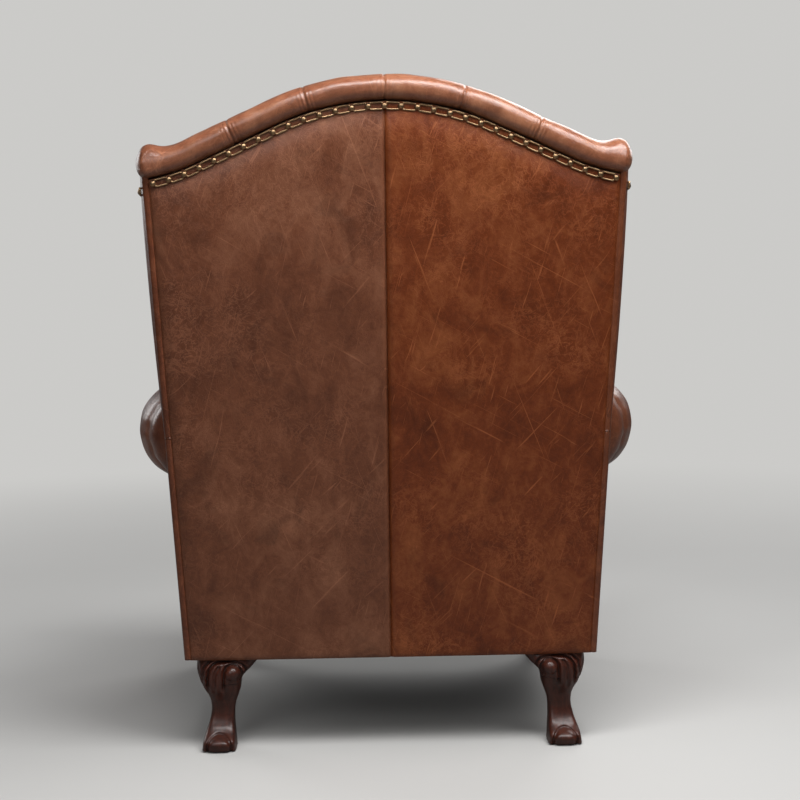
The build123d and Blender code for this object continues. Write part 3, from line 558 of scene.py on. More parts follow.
def cloth(name, warp_color, weft_color, pitch, rough=0.85):
    """Plain woven cloth, its threads running across and along."""
    p = Paint(name)
    weave = p.times(p.threads(pitch, "X"), p.threads(pitch, "Y"))
    slub = p.noise(220, 4)
    color = p.mix(p.weighted((weave, 0.6), (slub, 0.4)), warp_color, weft_color)
    color = p.mix(p.ramp(p.noise(8, 3), [(0.3, 0.0), (0.8, 0.3)]), color, shade(warp_color, 0.6))
    normal = p.bump(weave, 0.0004, 0.6)
    return p.finish(color, rough, normal, Sheen_Weight=0.15)


def plain(name, color, rough):
    """Moulded plastic with a faint mottle."""
    p = Paint(name)
    mottled = p.mix(p.noise(90, 4), color, shade(color, 1.35))
    roughness = p.ramp(p.noise(200, 3), [(0.3, rough - 0.05), (0.7, rough + 0.08)])
    return p.finish(mottled, roughness, p.bump(p.noise(500, 2), 0.0002, 0.3))


# The two rear panels get copies of one leather: the left one is greyer and paler, partly its own tint and
# partly painted sheen; the right one is the redder hide without it
HIDE_REAR_LEFT_PAINTED_SHEEN = leather(
    "leather_rear_left_painted_sheen", (0.070, 0.0210, 0.0095), (0.148, 0.0480, 0.0215), (0.250, 0.100, 0.051),
    veins=1.0, gloss=0.42, shine=0.32,
)
HIDE_REAR_RIGHT = leather(
    "leather_rear_right", (0.062, 0.0118, 0.0032), (0.148, 0.0315, 0.0078), (0.270, 0.080, 0.0240),
    veins=1.3, gloss=0.42, shine=0.26,
)
HIDE = leather(
    "leather_hide", (0.062, 0.0155, 0.0066), (0.148, 0.0400, 0.0150), (0.255, 0.086, 0.0370),
    veins=0.8, gloss=0.40, shine=0.38,
)
HIDE_PUFF = leather(
    "leather_padded", (0.070, 0.0182, 0.0078), (0.162, 0.0465, 0.0185), (0.280, 0.102, 0.0470),
    veins=0.7, gloss=0.36, wear=0.8, shine=0.46,
)
# a paler copy of the padded leather for the crest roll: partly the roll's own lighter hide, partly painted
# highlight
HIDE_CREST_PAINTED_HIGHLIGHT = leather(
    "leather_crest_painted_highlight", (0.098, 0.0290, 0.0135), (0.218, 0.0730, 0.0340), (0.350, 0.148, 0.0750),
    veins=0.7, gloss=0.34, wear=0.8, shine=0.55,
)
MAHOGANY = timber(
    "mahogany", (0.0210, 0.0058, 0.0034), (0.076, 0.0180, 0.0090), gloss=0.40, coat=0.25, worn=0.20,
)
BRASS = metal("antique_brass", (0.42, 0.275, 0.150), (0.050, 0.032, 0.020), 0.30)
STEEL = metal("plain_steel", (0.45, 0.45, 0.46), (0.12, 0.11, 0.10), 0.38, brushed=True)
HARDWOOD = timber("frame_hardwood", (0.36, 0.22, 0.12), (0.62, 0.44, 0.27), gloss=0.6, coat=0.0)
JUTE = cloth("jute", (0.33, 0.24, 0.14), (0.48, 0.37, 0.23), 0.0022)
CAMBRIC = cloth("cambric", (0.018, 0.017, 0.015), (0.045, 0.042, 0.039), 0.0009, 0.9)
DECK_CLOTH = cloth("deck_cloth", (0.075, 0.037, 0.020), (0.140, 0.075, 0.042), 0.0010)
GLIDE = plain("glide_plastic", (0.020, 0.018, 0.016), 0.45)
FOAM = plain("foam", (0.62, 0.56, 0.42), 0.9)


# Outside back
def back_panel():
    overlap, welt, rolled = 0.0068, 0.0055, 0.0042
    u, v = uv(70, 150)
    x = u * 0.36
    for _ in range(4):
        s = v * crest_at(x, overlap)
        half = side_x(welt, *up_back(s))
        x = u * half
    top = crest_at(x, 0)
    half = side_x(welt, *up_back(s))
    roll = np.minimum(edge_round(x, 0.0020), edge_round(np.minimum(half - x, s), rolled))
    shoulder = 1 - np.exp(-((clamp(top - s - 0.006) / 0.021) ** 1.5))
    across = (1 - 0.55 * (x / half) ** 3) * np.minimum(1, ((half - x) / 0.020 + 0.1) ** 0.7)
    crown = 0.0080 * shoulder * across * np.sin(np.pi * (0.06 + 0.5 * clamp(v * 1.7))) ** 0.5
    sag = 0.0007 * smooth_noise(on_back(x, s, 0), 0.32, 1) * np.minimum(1, np.minimum(x, half - x) / 0.03)
    crest = crest_line(0)
    arc = np.interp(x, crest[:, 0], run_length(crest))
    pucker = 0.0006 * np.cos(2 * np.pi * arc / NAIL_PITCH) * np.exp(-clamp(top - s) / 0.016)
    depth = -(0.0026 + 0.0016 * roll + crown * (0.35 + 0.65 * edge_round(x, 0.006)) + sag + pucker)
    return build("rear_panel_left", shell(on_back(x, s, depth), on_back(x, s, 0)))


# the left rear panel gets the greyer hide with painted sheen, the right panel the redder one
pair(back_panel(), "rear_panel", ["outside_back"], HIDE_REAR_LEFT_PAINTED_SHEEN, rights=HIDE_REAR_RIGHT)

# Outside of arm and wing: the turn round the back corner, as places ahead of it and depths
CORNER = [
    (-0.0008, 0.0072), (-0.0034, 0.0066), (-0.0048, 0.0050), (-0.0051, 0.0030), (-0.0048, 0.0008),
    (-0.0038, -0.0018), (-0.0018, -0.0036), (0.0010, -0.0044), (0.0050, -0.0046),
]
TURN_END = CORNER[-1][0]


def side_cover(name, a, h, depth):
    """A side cover with its turn round the back corner, from its places and its face's depths."""
    turn, sunk = np.array(CORNER).T[:, :, None]
    strip = on_side(turn, h[:1], sunk)
    face = on_side(a, h, depth)
    strip[-1] = face[0]
    back = on_side(np.zeros_like(turn), h[:1], np.clip(sunk, BACKED, 1))
    outer = np.concatenate([strip, face[1:]])
    inner = np.concatenate([back, on_side(a[1:], h[1:], BACKED)])
    return build(name, shell(outer, inner))


def arm_side():
    u, v = uv(90, 70)
    h = LEG_TOP + (0.545 - LEG_TOP) * v
    front = (BACK_Y + (h - LEG_TOP) / RISE * SETBACK - FRONT_Y) / 0.9987 - 0.0005
    a = TURN_END + u * (front - TURN_END)
    up = h - LEG_TOP
    roll = edge_round(np.minimum(up, front - a), 0.006)
    belly = 0.004 * np.sin(np.pi * u) ** 0.7 * np.sin(np.pi * clamp(up / 0.33)) ** 0.7
    wave = 0.0006 * smooth_noise(on_side(a, h, 0), 0.28, 2) * np.minimum(1, u * 8)
    return side_cover("arm_side_left", a, h, -0.0046 * roll - belly - wave)


pair(arm_side(), "arm_side", ["outside_arm"], HIDE)


def wing_edges(g, n_across, n_up):
    """Split the wing's outline into a top and a front that meet at its round corner."""
    path = wing_outline(g)
    corner = np.argmax(path[:, 0] + path[:, 1])
    return along(path[: corner + 1], n_across), along(path[corner:], n_up)


def wing_patch(g, rear, n_across, n_up):
    (top, _, _), (front, _, _) = wing_edges(g, n_across, n_up)
    top[:, 0] = rear + (top[:, 0] - top[0, 0]) * (top[-1, 0] - rear) / (top[-1, 0] - top[0, 0])
    right = front[::-1]
    left = np.stack([np.full(n_up, rear), np.linspace(ROLL_Z, top[0, 1], n_up)], 1)
    bottom = np.stack([np.linspace(rear, right[0, 0], n_across), np.full(n_across, ROLL_Z)], 1)
    return coons(left, right, bottom, top)


def wing_belly(u, v):
    return 0.0052 * clamp(u / 0.07) ** 0.5 * (1 - u ** 6) * np.sin(np.pi * clamp(v) ** 1.5) ** 0.3


WING_EDGE = 0.0155


def wing_side():
    flat = wing_patch(WING_EDGE, TURN_END, 56, 90)
    a, h = flat[..., 0], flat[..., 1]
    u, v = uv(56, 90)
    roll = edge_round(np.minimum((1 - u) * 0.25, (1 - v) * 0.45), 0.008)
    wave = 0.0005 * smooth_noise(on_side(a, h, 0), 0.25, 3) * np.minimum(1, u * 8)
    return side_cover("wing_side_left", a, h, -0.0002 - 0.0044 * roll - wing_belly(u, v) - wave)


pair(wing_side(), "wing_side", ["outside_wing"], HIDE)

# Inside of the wing: how far its rolled rim stands out from the outline, and at what depth
RIM = [
    (0.0105, -0.0010), (0.0150, -0.0034), (0.0200, -0.0030), (0.0248, 0.0010), (0.0283, 0.0080),
    (0.0302, 0.0170), (0.0308, 0.0275), (0.0300, 0.0385), (0.0272, 0.0495), (0.0222, 0.0590),
    (0.0150, 0.0660), (0.0060, 0.0708), (-0.0050, 0.0737), (-0.0180, 0.0752), (-0.0330, 0.0758),
]


def wing_pad():
    n_across, n_up = 60, 96
    rows = []
    for k, (g, d) in enumerate(RIM):
        (top, _, top_length), (front, _, _) = wing_edges(g, n_across, n_up)
        line = np.concatenate([top, front[1:]])
        arc = run_length(line)
        full = math.sin(math.pi * k / (len(RIM) - 1))
        gather = np.cos(2 * np.pi * arc / 0.031 + 2.2 * np.sin(arc * 23)) * bell(arc - top_length, 0.055)
        ripple = 0.0010 * full * np.sin(arc * 61 + 1.7 * np.sin(arc * 19))
        line = line + left_of(line) * (0.0009 * full * gather + ripple * 0.4)[:, None]
        dip = 1 - clamp((line[:, 0] + 0.004) / 0.060) ** 0.6
        line[:, 1] -= dip * 0.020 * clamp((line[:, 1] - 0.9) / 0.05)
        rows.append(on_side(line[:, 0], line[:, 1], d + 0.3 * ripple))
    band = np.array(rows)
    g, d = RIM[-1]
    flat = wing_patch(g, 0.0, n_across, n_up)
    a, h = flat[..., 0], flat[..., 1]
    u, v = uv(n_across, n_up)
    swell = np.sin(np.pi * clamp(u * 0.9 + 0.1)) * np.sin(np.pi * clamp(v * 0.9 + 0.05))
    wave = 0.0010 * smooth_noise(on_side(a, h, 0), 0.16, 4)
    edge = np.minimum(1, np.minimum(1 - u, 1 - v) * 9)
    face = on_side(a, h, d + (0.008 * swell ** 0.7 + wave) * edge)
    face[:, -1] = band[-1][:n_across]
    face[-1, ::-1] = band[-1][n_across - 1:]
    return build("wing_pad_left", [band, face])


pair(wing_pad(), "wing_pad", ["inside_wing"], HIDE_PUFF, fill=0.7)

# Roll over the crest
PLEAT_PITCH = 0.116
PLEATS = [0, PLEAT_PITCH, 2 * PLEAT_PITCH]


def pleat_mask(x, width):
    """1 at each pleat, fading on both sides over a width."""
    return sum(bell(np.abs(x) - p, width) for p in PLEATS)[:, None]


def side_creases(x, gap, width):
    """The two finer creases at a gap on both sides of each pleat."""
    return pleat_mask(np.abs(x) - gap, width) + pleat_mask(np.abs(x) + gap, width)


def top_roll():
    reach, end_round, squareness = 0.3930, 0.019, 2.6
    line = crest_line(0)
    half, _, _ = along(line[line[:, 0] < reach], 420)
    path = np.concatenate([half[::-1] * vec(-1, 1), half[1:]])
    out = left_of(path)
    arc = run_length(path)
    arc -= arc[-1] / 2
    end = (arc[-1] - np.abs(arc))[:, None]
    phi = turns(64)[None, :]
    cx, sx = np.cos(phi), np.sin(phi)
    shape = (np.abs(cx) ** squareness + np.abs(sx) ** squareness) ** (-1 / squareness)
    cap = edge_round(end + 0.0004, end_round)
    ear = 0.0125 * bell(end - 0.026, 0.024)
    gathers = 1 + 0.010 * bell(end - 0.007, 0.010) * np.cos(9 * phi + 0.6)
    fan = 0.5 + 0.5 * np.cos(phi - 3.6)
    bite = 1 - 0.060 * pleat_mask(path[:, 0], 0.0022) - 0.012 * pleat_mask(path[:, 0], 0.020)
    bite = bite - 0.018 * fan * side_creases(path[:, 0], 0.0060, 0.0016)
    bite = bite - 0.012 * fan * side_creases(path[:, 0], 0.0115, 0.0018)
    ripple = np.sin(arc * 105 + 2.5 * np.sin(arc * 23))[:, None]
    wrinkle = 1 + 0.005 * ripple * (0.4 + 0.6 * np.cos(phi - 2.2) ** 2)
    size = shape * cap * bite * wrinkle * gathers
    rise = 0.0278 + (0.0208 + ear * clamp(sx)) * size * sx
    x, s = path[:, :1] + out[:, :1] * rise, path[:, 1:] + out[:, 1:] * rise
    points = on_back(x, s, 0.0215 + 0.0385 * size * cx)
    points = points + 0.0007 * smooth_noise(points, 0.07, 5)[..., None] * vec(0, 0.7, 0.7)
    return build_round("crest_roll", points)


# the crest roll wears the paler hide with painted highlight
dress(top_roll(), HIDE_CREST_PAINTED_HIGHLIGHT, "top_roll", fill=0.85)

# Buttoned inside back
BUTTON_PITCH, BUTTON_ROW, BUTTON_ROWS, BUTTON_COLUMNS = 0.116, 0.095, 5, 5
BUTTON_DEPTH, BUTTON_RADIUS, BUTTON_HEIGHT = 0.0905, 0.0105, 0.0058
FIRST_ROW = level(0.580)
BUTTONS = [
    ((c - (BUTTON_COLUMNS - r % 2 - 1) / 2) * BUTTON_PITCH, FIRST_ROW + r * BUTTON_ROW)
    for r in range(BUTTON_ROWS) for c in range(BUTTON_COLUMNS - r % 2)
]


def soft_abs(v):
    """The size of a number, with the kink at zero rounded."""
    blur = 0.045
    return np.sqrt(v * v + blur * blur) - blur


def inside_back():
    foot, lumbar, top = level(0.330), level(0.480), level(CREST)
    over_crest, narrow, wide, pillow_height, sunk = 0.030, 0.098, 0.066, 0.027, 0.041
    u, v = uv(230, 260, -1)
    x = u * 0.3
    for _ in range(4):
        s = foot + v * (crest_at(x, over_crest) - foot)
        y, z = up_back(s)
        low, high = side_x(narrow, y - 0.12, z), side_x(wide, y - 0.12, z)
        t = clamp((z - 0.49) / 0.10)
        half = low + (high - low) * t * t * (3 - 2 * t)
        x = u * half
    fall = 0.026 * np.clip((s - lumbar) / (top - lumbar), 0, 1.2) ** 1.6
    base = 0.134 - fall - 0.004 * clamp((lumbar - s) / (lumbar - foot))
    r = s - FIRST_ROW
    slant = np.clip(r, 0, (BUTTON_ROWS - 1) * BUTTON_ROW) / (2 * BUTTON_ROW)
    p, q = x / BUTTON_PITCH + slant, x / BUTTON_PITCH - slant
    pillow = clamp(soft_abs(np.sin(np.pi * p)) * soft_abs(np.sin(np.pi * q))) ** 0.40
    fade = 1 - 0.62 * clamp(-r / (FIRST_ROW - foot))
    height = base - 0.0185 + pillow_height * (pillow * fade + (1 - fade) * 0.80)
    for bx, bs in BUTTONS:
        gap = np.hypot(x - bx, s - bs)
        height = height - 0.0165 * bell(gap, 0.0125) - 0.006 * bell(gap, 0.028)
    points = on_back(x, s, height)
    height = height + 0.0008 * smooth_noise(points, 0.080, 6) + 0.0002 * smooth_noise(points, 0.024, 7)
    room = crest_at(x, over_crest) - s
    height = height - 0.040 * (1 - edge_round(half - np.abs(x), 0.026))
    height = height - 0.055 * (1 - edge_round(room, 0.060)) - 0.015 * (1 - edge_round(s - foot, 0.020))
    return build("tufted_back", shell(on_back(x, s, height), on_back(x, s, sunk)))


dress(inside_back(), HIDE_PUFF, "inside_back", fill=0.8)


def dome(centre, axis, across, radius, height, rings=9, sides=28, under=0.35):
    """Grid of a domed head with a turned-under rim."""
    t = np.linspace(0, 1, rings) * np.pi / 2
    r = np.maximum(np.append(np.sin(t) * radius, radius * 0.86), 1e-5)
    h = np.append(np.cos(t) * height, -under * height)
    ang = turns(sides)[None, :, None]
    ring = np.cos(ang) * across + np.sin(ang) * np.cross(axis, across)
    return centre + r[:, None, None] * ring + h[:, None, None] * axis, False, True


button_grids = [
    dome(on_back(x, s, BUTTON_DEPTH), AHEAD, vec(1, 0, 0), BUTTON_RADIUS, BUTTON_HEIGHT)
    for x, s in BUTTONS
]
button_backs = [grid[0][-1] for grid in button_grids]
dress(build("tuft_buttons", button_grids, caps=button_backs), HIDE, "back_buttons")

# Arms: stations from the front to behind the wing, as depth, outer reach and radius of the round
ARM_STATIONS = [
    (-0.372, 0.4330, 0.0740), (-0.20, 0.4375, 0.0760), (0.05, 0.4410, 0.0785), (0.13, 0.4360, 0.0780),
    (0.19, 0.4200, 0.0745), (0.22, 0.4040, 0.0720), (0.26, 0.3980, 0.0700), (0.30, 0.3930, 0.0680),
]
NECK_Y, TAIL_Y = 0.205, 0.276


def smooth_station(y):
    """Outer reach and radius of the arm's round at a place, eased between its stations."""
    ys, reach, radius = np.array(ARM_STATIONS).T
    spread = [(-0.03, 1), (-0.015, 2), (0, 3), (0.015, 2), (0.03, 1)]
    return [sum(w / 9 * np.interp(y + s, ys, row) for s, w in spread) for row in (reach, radius)]


def arm_row(y):
    """One upright section of the arm: its inner face, then the round over the top."""
    foot, n_face, n_round = 0.3215, 34, 78
    reach, radius = smooth_station(y)
    ahead = y - FRONT_Y
    tail = edge_round(np.array(TAIL_Y + 0.0002 - y), 0.030)
    neck = 1 - 0.060 * bell(y - NECK_Y, 0.009) - 0.015 * bell(y - NECK_Y, 0.03)
    drawn = radius * neck * (1 - 0.02 * math.exp(-ahead / 0.010)) * (0.55 + 0.45 * tail)
    cx = reach - radius
    z = np.linspace(foot, ROLL_Z - 0.006, n_face)
    k = (z - DECK_TOP) / (ROLL_Z - DECK_TOP)
    puff = 0.0035 * np.sin(np.pi * clamp(k)) ** 0.8 + 0.004 * clamp((k - 0.72) / 0.28) ** 2
    low = np.stack([side_x(ARM_THICKNESS, y, z) + 0.0022 - puff, np.full(n_face, y), z], 1)
    wide = cx - (side_x(ARM_THICKNESS, y, ROLL_Z) - 0.0020)
    a = np.linspace(math.pi, -math.radians(112), n_round)
    blend = 0.5 * (1 - np.cos(a))
    blend = blend * blend * (3 - 2 * blend)
    fold = 0.0011 * math.exp(-ahead / 0.030) * np.cos(a * 17 + 0.8 * np.sin(3 * a))
    fold = fold + 0.0010 * bell(y - NECK_Y, 0.026) * np.cos(a * 15 + 1.3)
    stretch = np.where(a < 0, 1 + 0.10 * (1 - math.exp(-ahead / 0.10)), 1)
    x = cx + (drawn * (1 - blend) + wide * blend + fold) * np.cos(a)
    over = np.stack([x, np.full(n_round, y), ROLL_Z + (drawn + fold) * stretch * np.sin(a)], 1)
    return np.concatenate([low, over])


def arm_roll():
    tail = 0.24 + (TAIL_Y - 0.24) * np.sin(np.linspace(0, 1, 22)[1:] * np.pi / 2)
    ys = np.concatenate([np.linspace(FRONT_Y + BACKED, -0.20, 60), np.linspace(-0.197, 0.24, 110), tail])
    points = np.array([arm_row(y) for y in ys])
    soft = clamp((points[..., 2] - 0.33) / 0.08)
    points[..., 0] += 0.0012 * smooth_noise(points, 0.13, 8) * soft
    points[..., 2] += 0.0009 * smooth_noise(points, 0.10, 9) * soft
    return build_round("arm_cover_left", points)


pair(arm_roll(), "arm_cover", ["arm_roll", "inside_arm"], HIDE_PUFF, fill=0.8)


def keyhole(n):
    """Outline of the arm's front: its round, and the panel below it, as x and z."""
    cx, r, lap = ROLL_REACH - ROLL_RADIUS, ROLL_RADIUS, -0.004
    inner_low, inner_high = side_x(ARM_THICKNESS, FRONT_Y, LEG_TOP), side_x(ARM_THICKNESS, FRONT_Y, ROLL_Z)
    outer_low, outer_high = side_x(lap, FRONT_Y, LEG_TOP), side_x(lap, FRONT_Y, 0.48)
    start = math.atan2(-math.sqrt(r * r - (outer_high - cx) ** 2), outer_high - cx)
    a = np.linspace(start, math.pi, 60)
    x = cx + np.where(np.cos(a) > 0, r, cx - inner_high) * np.cos(a)
    arc = np.stack([x, ROLL_Z + r * np.sin(a)], 1)
    return even_ring(np.concatenate([[(outer_low, LEG_TOP)], arc, [(inner_low, LEG_TOP)]]), n)


def facing():
    n, rings = 260, 30
    ring = keyhole(n)
    middle = 0.5 * (side_x(ARM_THICKNESS, FRONT_Y, 0.2) + side_x(-0.004, FRONT_Y, 0.2))
    foot, head = vec(middle, 0.205), vec(0.355, ROLL_Z)
    axis = head - foot
    heart = foot + clamp(((ring - foot) @ axis) / (axis @ axis))[:, None] * axis
    share = np.linspace(0, 1, rings)[:, None] ** 1.4
    flat = ring + share[..., None] * (heart - ring)
    inset = share * np.linalg.norm(heart - ring, axis=1)
    depth = 0.0103 * edge_round(inset, 0.0065) ** 0.8 + 0.0035 * edge_round(clamp(inset - 0.013), 0.035)
    depth -= 0.0022 * bell(inset - 0.0135, 0.0028)
    face = np.stack([flat[..., 0], FRONT_Y - depth, flat[..., 1]], -1)
    face[..., 1] -= 0.0005 * smooth_noise(face, 0.09, 10) * clamp(inset / 0.02)
    back = np.stack([ring[:, 0], np.full(n, FRONT_Y), ring[:, 1]], 1)
    rim = np.stack([back, face[0]])
    return build("arm_front_left", [(face, False, True), (rim, False, True)], caps=[back])


pair(facing(), "arm_front", ["arm_facing"], HIDE, fill=0.5)


# Front border, deck and dust cover
def border():
    u, v = uv(160, 50, -1)
    z = LEG_TOP + v * (DECK_TOP - LEG_TOP)
    half = side_x(0.1052, FRONT_Y, z)
    x = u * half
    edge = np.minimum(np.minimum(z - LEG_TOP, DECK_TOP - z), half - np.abs(x))
    swell = 0.0035 * np.sin(np.pi * v) ** 0.6 * (1 - np.abs(u) ** 4)
    points = np.stack([x, FRONT_Y - 0.0002 - 0.0062 * edge_round(edge, 0.006) - swell, z], -1)
    points[..., 1] -= 0.0006 * smooth_noise(points, 0.12, 11) * clamp(edge / 0.02)
    back = np.stack([x, np.full_like(x, FRONT_Y), z], -1)
    return build("seat_border", shell(points, back))


dress(border(), HIDE, "front_border", fill=0.4)


def deck():
    pad_foot, pad_top, side_gap, rear = 0.2766, 0.3285, 0.1045, 0.245
    u, v = uv(120, 110, -1)
    y = FRONT_Y + 0.0004 + v * (rear - FRONT_Y)
    half = side_x(side_gap, y, 0.330)
    x = u * half
    edge = np.minimum(y - FRONT_Y, half - np.abs(x))
    z = pad_top + 0.0032 * edge_round(edge, 0.012) + 0.0003 * np.sin(np.pi * v) * (1 - u * u)
    low = np.stack([x, y, np.full_like(x, pad_foot)], -1)
    return build("seat_deck", shell(np.stack([x, y, z], -1), low), "deck_cloth")


dress(deck(), DECK_CLOTH, "seat_deck_pad", "seat_deck_cover", fill=0.9)


def dust_sheet():
    front, length, inset, thickness, sag = -0.358, 0.605, 0.014, 0.0008, 0.0030
    u, v = uv(70, 66, -1)
    y = front + v * length
    x = u * side_x(inset, y, LEG_TOP)
    z = LEG_TOP - 0.001 - sag * np.sin(np.pi * v) ** 0.7 * (1 - np.abs(u) ** 3)
    z = z + 0.0002 * smooth_noise(np.stack([x, y, x], -1), 0.1, 12)
    points = np.stack([x, y, z], -1)
    made = build("dust_sheet", shell(points, points + vec(0, 0, thickness)), "hessian")
    return made


dress(dust_sheet(), CAMBRIC, "dust_cover")


# Legs: outlines of the knee and foot, as shares of the knee's size and of the leg's height
KNEE_X, KNEE_Y, GLIDE_TOP, LEG_RISE = 0.058, 0.056, 0.003, 0.155
REAR_LEG_PLACE, FRONT_LEG_PLACE = vec(0.296, 0.232), vec(0.328, -0.350)
KNEE_EYE, EYE_RADIUS, TOE_EYE, TOE_RADIUS = (-0.0255, 0.1335), 0.0120, (-0.0010, 0.0085), 0.0165
FLUTE_PITCH = 0.0125
OUTER = [
    (0.5, 0.0), (0.44, 0.12), (0.3, 0.28), (0.24, 0.44), (0.29, 0.54), (0.52, 0.7), (0.65, 0.9),
    (0.62, 1.0),
]
INNER = [
    (-0.5, 0.0), (-0.47, 0.12), (-0.43, 0.28), (-0.46, 0.44), (-0.62, 0.62), (-0.74, 0.79), (-0.95, 0.87),
    (-1.26, 1.0),
]
BACK = [
    (0.86, 0.0), (0.92, 0.1), (0.55, 0.18), (0.28, 0.33), (0.33, 0.49), (0.62, 0.7), (0.68, 0.86),
    (0.54, 1.0),
]
BELLY = [
    (-0.18, 0.0), (-0.3, 0.14), (-0.4, 0.33), (-0.42, 0.52), (-0.6, 0.65), (-0.87, 0.76), (-0.97, 0.88),
    (-1.11, 1.0),
]
# Grooves of the knee's carving, as places across and up the leg
SCROLL = [
    (0.0165, 0.098), (0.0180, 0.113), (0.0182, 0.127), (0.0150, 0.1400), (0.0075, 0.1490),
    (-0.0040, 0.1532), (-0.0200, 0.1542), (-0.0330, 0.1522), (-0.0440, 0.1460), (-0.0492, 0.1370),
    (-0.0480, 0.1270), (-0.0425, 0.1180),
]
ROUND_EYE = [
    (-0.0080, 0.102), (-0.0098, 0.119), (-0.0105, 0.134), (-0.0150, 0.1440), (-0.0240, 0.1490),
    (-0.0340, 0.1465), (-0.0400, 0.1385), (-0.0405, 0.1290), (-0.0360, 0.1205),
]
OUTER_BAND = [(0.0278, 0.104), (0.0266, 0.127), (0.0245, 0.1420), (0.0170, 0.1505), (0.0080, 0.1570)]
INNER_BAND = [(0.0050, 0.096), (0.0060, 0.115), (0.0040, 0.133), (-0.0020, 0.1445)]
GROOVES = [
    (SCROLL, 0.0056, 0.0024), (ROUND_EYE, 0.0048, 0.0021), (OUTER_BAND, 0.0042, 0.0022),
    (INNER_BAND, 0.0022, 0.0024),
]


def spline(shares, z):
    """A smooth curve through points given as (side, height), read at heights."""
    f, h = np.array(shares).T
    slope = np.gradient(f, h)
    i = np.clip(np.searchsorted(h, z) - 1, 0, len(h) - 2)
    w = h[i + 1] - h[i]
    t = clamp((z - h[i]) / w)
    start = (1 + 2 * t) * (1 - t) ** 2 * f[i] + t * (1 - t) ** 2 * w * slope[i]
    return start + t * t * (3 - 2 * t) * f[i + 1] + t * t * (t - 1) * w * slope[i + 1]


def smooth_curve(points, n):
    """A smooth curve through flat points, as n points."""
    t = np.linspace(0, len(points) - 1, n)
    i = np.clip(t.astype(int), 0, len(points) - 2)
    f = (t - i)[:, None]
    p0, p1, p2, p3 = (points[np.clip(i + k, 0, len(points) - 1)] for k in (-1, 0, 1, 2))
    bend, twist = 2 * p0 - 5 * p1 + 4 * p2 - p3, 3 * p1 - p0 - 3 * p2 + p3
    return 0.5 * (2 * p1 + (p2 - p0) * f + bend * f ** 2 + twist * f ** 3)


def line_gap(px, pz, line):
    """Distance from places to the nearest point of a flat line."""
    gap = np.full(px.shape, 1e9)
    for a, b in zip(line, line[1:]):
        ab = b - a
        t = clamp(((px - a[0]) * ab[0] + (pz - a[1]) * ab[1]) / (ab @ ab + 1e-12))
        gap = np.minimum(gap, np.hypot(px - a[0] - t * ab[0], pz - a[1] - t * ab[1]))
    return gap


def leg(name, place, way):
    """One carved leg: the foot under its axis, the knee's scroll on the face that shows."""
    share = np.linspace(0, 1, 190)
    outer, inner = (KNEE_X * spline(shares, share)[:, None] for shares in (OUTER, INNER))
    back, belly = (KNEE_Y * spline(shares, share)[:, None] for shares in (BACK, BELLY))
    ang = turns(224)
    p = (3.0 + 1.2 * clamp((share - 0.82) / 0.18) + 3.0 * clamp((0.50 - share) / 0.20))[:, None]
    c, s = np.cos(ang)[None], np.sin(ang)[None]
    shape = (np.abs(c) ** p + np.abs(s) ** p) ** (-1 / p)
    x = (outer + inner) / 2 + (outer - inner) / 2 * shape * c
    y = (back + belly) / 2 + (back - belly) / 2 * shape * s
    z = np.broadcast_to(GLIDE_TOP + LEG_RISE * share[:, None], x.shape)
    # knee: a raised eye with a groove round it, and bands that sweep over it from the outer side
    relief = np.zeros_like(x)
    high = clamp((z - 0.094) / 0.020)
    for path, depth, width in GROOVES:
        gap = line_gap(x, z, smooth_curve(np.array(path), 130))
        relief += high * (0.0012 * bell(gap - 0.0050, 0.0022) - depth * bell(gap, width))
    eye = np.hypot(x - KNEE_EYE[0], z - KNEE_EYE[1])
    knob = np.sqrt(clamp(1 - (eye / EYE_RADIUS) ** 2))
    relief = relief * (1 - knob) + 0.0085 * knob
    under = 0.1150 - z
    ledge = clamp(under / 0.0022) * clamp(1 - under / 0.034) * clamp((-0.0060 - x) / 0.0050)
    relief -= 0.0050 * ledge
    # toe: a scroll end with a groove arched over it
    toe = np.hypot((x - TOE_EYE[0]) * 0.93, z - TOE_EYE[1])
    relief += 0.0022 * np.sqrt(clamp(1 - (toe / TOE_RADIUS) ** 2)) - 0.0050 * bell(toe - 0.0190, 0.0026)
    y = y + relief * clamp((s * shape - 0.25) / 0.35)
    # the outer side of the knee carries three shallow flutes
    flank = clamp((c - 0.2) / 0.5) * np.exp(-(((z - 0.128) / 0.026) ** 4))
    x = x - 0.0008 * flank * (1 + np.cos(2 * np.pi * (y + z * 0.8) / FLUTE_PITCH))
    points = np.stack([x + place[0], way * y + place[1], z], -1)
    return build_round(name, points, "leg_wood")


for name, place, way in (("rear_leg", REAR_LEG_PLACE, 1), ("front_leg", FRONT_LEG_PLACE, -1)):
    pair(leg(f"carved_{name}_left", place, way), f"carved_{name}", [name], MAHOGANY)

# Nail trim
REARWARD = -AHEAD
ABOVE_ARM = 0.626
NAIL_RADIUS, NAIL_HEIGHT, NAIL_LIFT = 0.0050, 0.0040, 0.0012
TRIM_OUT, SIDE_TRIM_OUT, SIDE_TRIM_INSET = 0.0050, 0.0052, 0.033


def link_grid(centre, across, out):
    """One open link: a rounded ring of oval section round a window."""
    w, h, corner, half_wire, thick = 0.0104, 0.0053, 0.0028, 0.0016, 0.0024
    path = rounded_path([(0, -h), (w, -h), (w, h), (-w, h), (-w, -h), (0, -h)], [corner] * 4, 0.001)
    ring = along(path, 45)[0][:-1]
    ang = turns(12)
    lift = thick * (0.25 + 0.75 * np.sin(ang))
    flat = ring[:, None] - to_left(ring_ways(ring))[:, None] * (half_wire * np.cos(ang))[None, :, None]
    over = flat[..., 1:] * np.cross(out, across)
    return centre + flat[..., :1] * across + over + lift[None, :, None] * out, True, True


